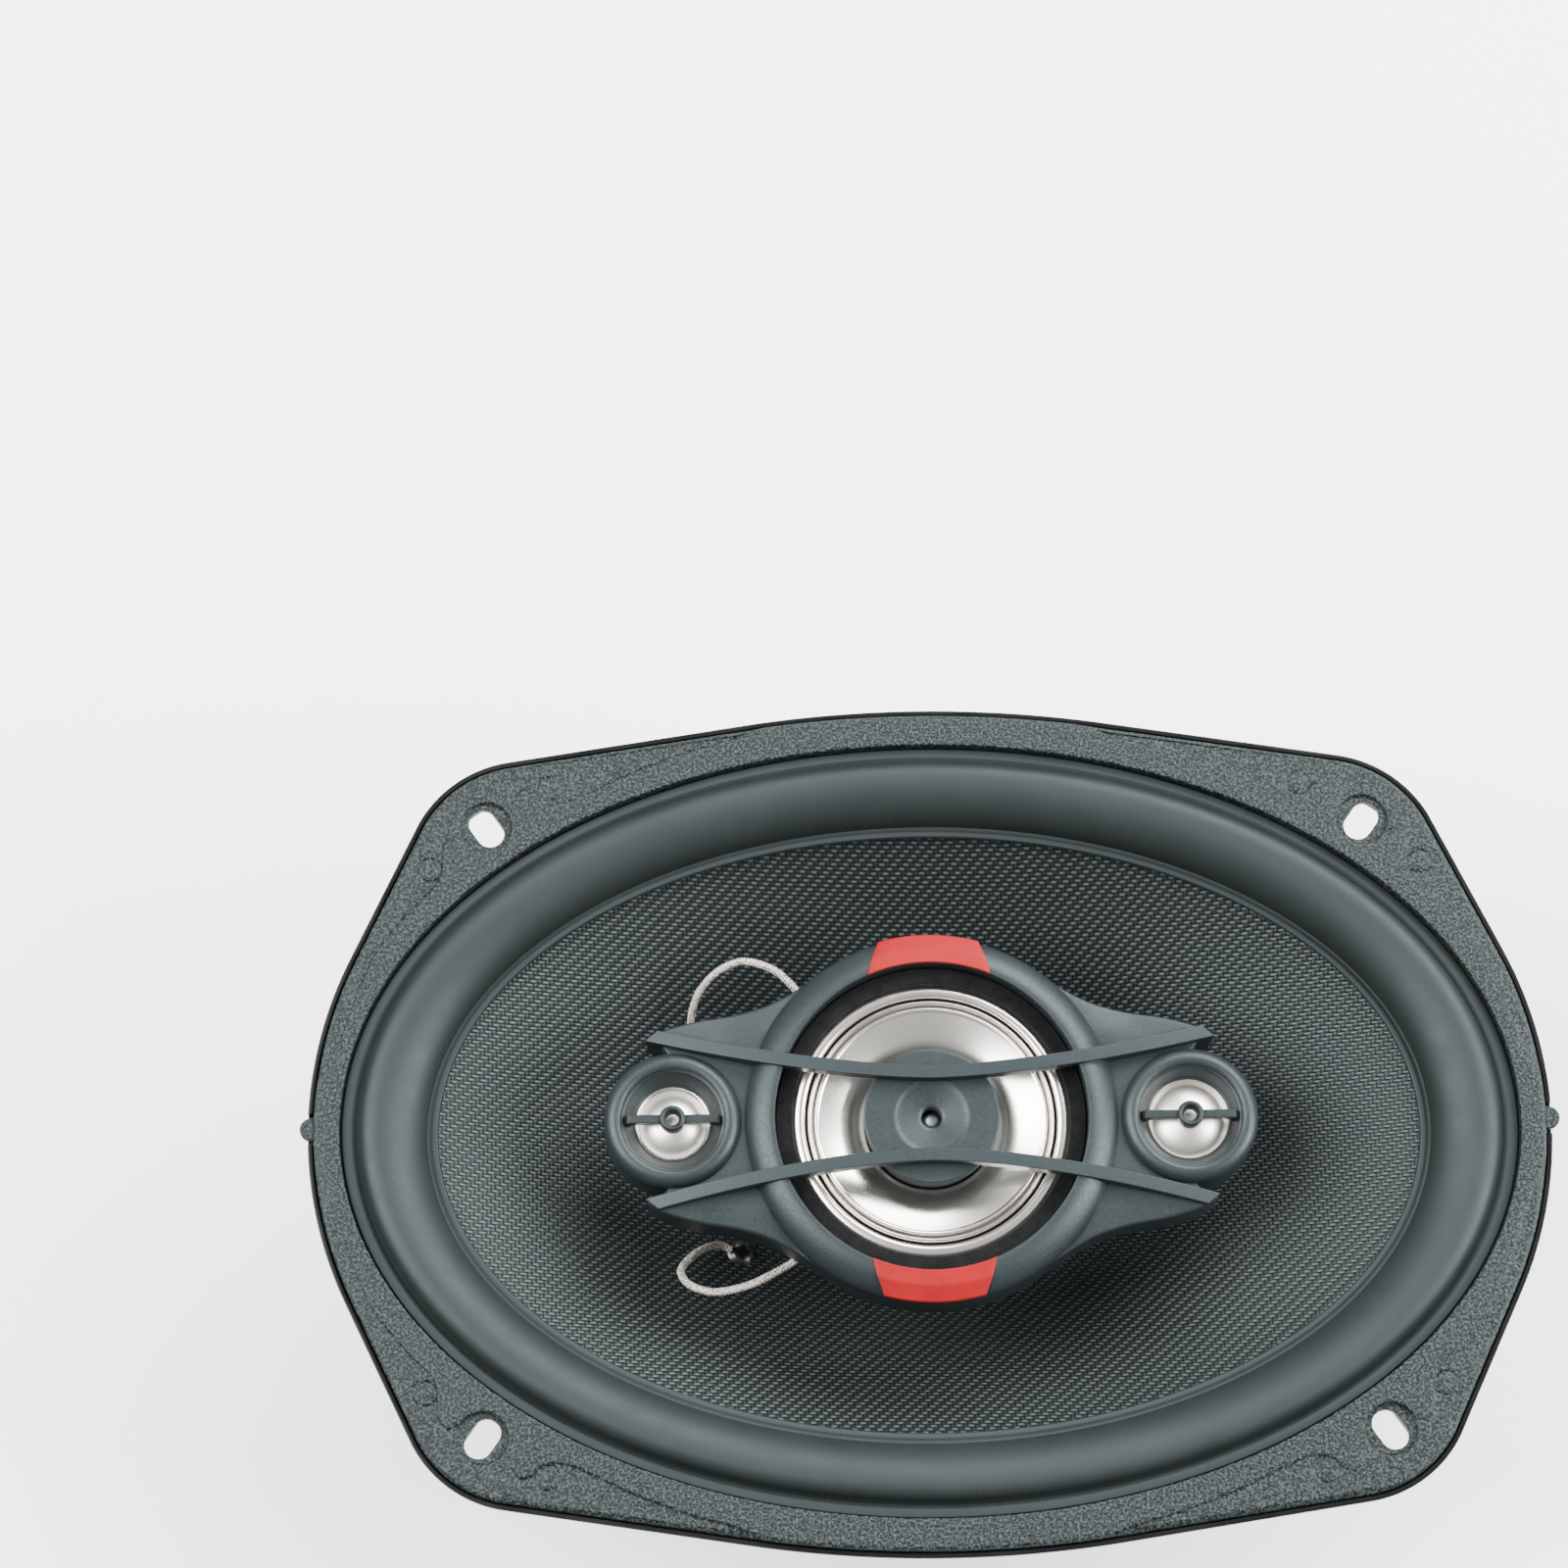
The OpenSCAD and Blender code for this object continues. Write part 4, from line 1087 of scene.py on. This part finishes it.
def bridge_ring():
    """Rises in a full curve from its outer edge to a crisp crest at its bore."""
    crest, shoulder, fullness = RING_INNER + 0.7, 7.0, 1.6
    over = [(crest + (RING_OUTER - crest) * math.cos(a) ** (2 / fullness),
             shoulder + (RING_TOP - shoulder) * math.sin(a) ** (2 / fullness))
            for a in np.linspace(0, math.pi / 2, 19)]
    profile = [(25.3, BRIDGE_FLOOR), (RING_OUTER, BRIDGE_FLOOR)]
    profile += over + [(RING_INNER, RING_TOP), (RING_INNER, 3.4), (25.3, 3.4)]
    turned_piece("bridge_housing", profile, steps=220)
    for side, name in ((-1, "tweeter_pod_left"), (1, "tweeter_pod_right")):
        crown = [(POD_RADIUS - 2.3 + 2.3 * math.cos(a), 6.8 + 2.5 * math.sin(a))
                 for a in np.linspace(0, math.pi / 2, 10)]
        pod = [(12, BRIDGE_FLOOR), (POD_RADIUS, BRIDGE_FLOOR)] + crown
        pod += [(POD_LIP + 0.35, 9.15), (POD_LIP, 8.9), (POD_LIP, 7.8), (12, 7.8)]
        turned_piece("bridge_housing", pod, 0.25, 3, name, (side * POD_X, 0))


def bridge_blade(node, side):
    """A bar that bows towards the middle and falls towards its slanting ends."""
    half = BLADE_WIDTH / 2
    shell = Shell()
    rings = []
    for u in np.linspace(-1, 1, 81):
        x_mid = u * BLADE_REACH
        slope = (blade_y(x_mid + 0.01) - blade_y(x_mid - 0.01)) / 0.02
        depth = mix(3.0, 4.4, float(smooth((abs(x_mid) - 29) / 6)))
        section = soften([(-half, -depth), (half, -depth), (half, 0), (-half, 0)], 0.22, 3, axis=False)
        ring = []
        for off, height in section:
            x = x_mid - math.copysign(1, u) * abs(u) ** 6 * (off + half) * 0.75
            ring.append((x - slope * off * 0.9, side * (blade_y(x) + off), blade_top(x) + height))
        rings.append(shell.loop(ring))
    shell.bar(rings)
    shell.ride(node)


def red_inset(node, side):
    """A glossy plate with a nearly flat slope that is set into the ring, a little proud of it."""
    section = soften([(30.2, 6.9), (34.8, 6.9), (34.8, 8.2), (35.4, 8.4), (35.35, 9.05), (32.4, 10.5),
                      (29.5, 10.95), (29.5, 10.3), (30.2, 9.9)], 0.3, 4)
    shell = Shell()
    rings = []
    for u in np.linspace(-1, 1, 41):
        ring = []
        for r, z in section:
            spread = mix(INSET_INNER_ANGLE, INSET_OUTER_ANGLE,
                         (r - RING_INNER) / (RING_OUTER - RING_INNER))
            a = math.radians(spread * u)
            ring.append((r * math.sin(a), side * r * math.cos(a), z - 0.12 * abs(u) ** 24))
        rings.append(shell.loop(ring))
    shell.bar(rings)
    shell.ride(node, sharp=40)


def bridge_underside():
    cover_low = lowest("bridge_cover").z
    half = [(x - 0.5, y - 0.5) for x, y in through(WING_EDGE, 3)]
    pod = arc((POD_X, 0), 12.4, 0, 86, 14)
    quadrant = pod + half[::-1] + arc((0, 0), 34.4, 63, 90, 10)[1:]
    outline = four_way(quadrant)
    holes = [circle(25.3, (0, 0), 96)[::-1]]
    holes += [circle(11.8, (s * POD_X, 0), 64)[::-1] for s in (-1, 1)]
    shell = Shell()
    shell.slab(outline, cover_low, BRIDGE_FLOOR, 0.3, holes)
    shell.ride("bridge_cover")
    for side, node in ((-1, "capacitor_left"), (1, "capacitor_right")):
        can = Shell()
        can.turned(soften([(0, -6.6), (2.9, -6.6), (3.05, -7), (3.5, -7), (3.5, 7), (3.05, 7), (2.9, 6.6),
                           (0, 6.6)], 0.35, 3), steps=48)
        for s in (-1, 1):
            can.turned([(0, s * 6.4), (0.35, s * 6.4), (0.35, s * 9), (0, s * 9)], steps=16)
        turn = (Matrix.Translation((side * 30.5, 0, lowest(node).z + 3.5))
                @ Matrix.Rotation(math.pi / 2, 4, "X"))
        can.place(0, turn)
        can.ride(node)


# ---- midrange and tweeters

def midrange():
    turned_piece("mid_gasket", [(26.3, 5.2), (29.3, 5.2), (29.3, 6.8), (26.3, 6.8)], 0.25, steps=200)
    ridges = [(21.1, 5.12), (21.6, 5.35), (21.95, 5.2), (22.25, 4.5), (22.6, 5.35), (22.95, 5.6),
              (23.3, 5.2), (23.6, 4.35), (23.95, 5.2), (24.6, 5.6), (25.5, 5.5), (26.2, 5.2)]
    top = through(ridges, 5) + [np.array((29.2, 5.2))]
    foil = 0.3
    profile = top + [p - (0, foil) for p in top[::-1]]
    roll = Shell()
    roll.turned(profile, steps=220)
    roll.bend("mid_surround", sharp=70)
    bowl = [(mix(13.25, 21.4, t), mix(1.6, 5.1, t ** 0.55)) for t in np.linspace(0, 1, 30)]
    diaphragm = Shell()
    diaphragm.turned([(12.6, 1.95), (12.9, 2.1), (13.3, 2.05)] + bowl[2:]
                     + [(r, z - 0.35) for r, z in bowl[::-1]], steps=200)
    diaphragm.ride("mid_cone", sharp=70)
    plug = [(0, -11), (2.5, -11), (2.5, -2.5), (12.2, -2.5), (12.2, 5), (12.8, 6.6), (12.8, 9.2),
            (7.1, 9.2), (6.4, 8.9), (2.4, 8.2), (1.85, 7.9), (1.85, 4), (0, 4)]
    turned_piece("phase_plug", plug, cuts=4, steps=160)
    screw = [(0, 4.1), (1.8, 4.1), (1.8, 4.8), (1.2, 5.4), (0, 5.6)]
    turned_piece("mid_yoke", screw, 0.3, name="plug_screw", steps=40)


DOMES = {"left": (-1, 6, 7.0), "right": (1, 7.2, 7.6)}


def tweeter(name, side, radius, opening):
    centre = (side * POD_X, 0)
    bezel = Shell()
    bezel.turned(soften([(opening, 4.6), (11.9, 4.5), (11.9, 7.8), (9.9, 7.85), (9.3, 7.7),
                         (opening + 0.5, 5.3), (opening, 5.1)], 0.22, 4), centre)
    hub = [(1.15, 7.0), (2.5, 7.2), (2.5, 9.5), (2.2, 9.9), (1.75, 9.9), (1.15, 9.0)]
    bezel.turned(soften(hub, 0.3, 4), centre, 56)
    half, low, high = 0.83, 7.1, 9.2
    for way in (-1, 1):
        rings = []
        for x, drop in ((2.0, 0), (7.6, 0), (8.5, 0.1), (8.9, 0.7), (9.1, 1.5)):
            foot = low - (1.6 if x > 8 else 0)
            section = soften([(-half, foot), (half, foot), (half, high - drop), (-half, high - drop)],
                             0.28, 3, axis=False)
            rings.append(bezel.loop([(centre[0] + way * x, a, b) for a, b in section]))
        bezel.bar(rings)
    bezel.ride(name + "_bezel")
    bore = radius + 0.35
    ring = [(bore, 3.05), (11.4, 3.05), (11.4, 4.45), (radius + 1.0, 4.5), (bore, 4.1)]
    turned_piece(name + "_ring", ring, 0.18, centre=centre)
    rise, base, skin = 2.5, 3.6, 0.3
    ball = (radius ** 2 + rise ** 2) / (2 * rise)
    spread = math.asin(radius / ball)
    top = [(ball * math.sin(spread * t), base + rise - ball + ball * math.cos(spread * t))
           for t in np.linspace(0, 1, 24)]
    dome = Shell()
    rim = [(radius + 0.08, base - 0.1), (radius + 0.3, base - 0.05)]
    dome.turned(top + rim + [(r, z - skin) for r, z in (top + rim)[::-1]], centre)
    dome.ride(name + "_dome", sharp=70)
    wall = radius + 0.5
    cup = [(0, -8), (11.5, -8), (11.5, 3), (wall, 3), (wall, -6.5), (0, -6.5)]
    turned_piece(name + "_cup", cup, 0.5, centre=centre)


# ---- everything

def make_floor():
    reach = 6000
    level = lowest("yoke").z - 0.02
    corners = [(x * reach * MM, y * reach * MM, level * MM) for x, y in QUADRANTS]
    mesh = bpy.data.meshes.new("floor")
    mesh.from_pydata(corners, [], [(0, 1, 2, 3)])
    floor = in_scene("floor", mesh)
    pale = Finish("floor", (0.97, 0.97, 0.97), 0.6)
    pale.rough(pale.noise(60, 2), 0.55, 0.7)
    mesh.materials.append(pale.material)


make_camera()
make_room()
make_floor()
for cad_node, shown in frame["nodes"].items():
    shown.data.materials.clear()
    shown.data.materials.append(MATERIALS[SLOT_OF[cad_node]])
lead("front_lead_upper", FRONT_UPPER, True)
lead("front_lead_lower", FRONT_LOWER, True)
lead("rear_lead_positive", REAR_POSITIVE, False)
lead("rear_lead_negative", REAR_NEGATIVE, False)
basket_flange()
basket_wall()
basket_cup()
trim_ring()
surround()
cone()
spider()
lead_eyelets()
motor()
terminals()
bridge_ring()
bridge_wings()
bridge_blade("blade_upper", 1)
bridge_blade("blade_lower", -1)
red_inset("red_inset_upper", 1)
red_inset("red_inset_lower", -1)
bridge_underside()
midrange()
for tweeter_name, sizes in DOMES.items():
    tweeter(tweeter_name, *sizes)
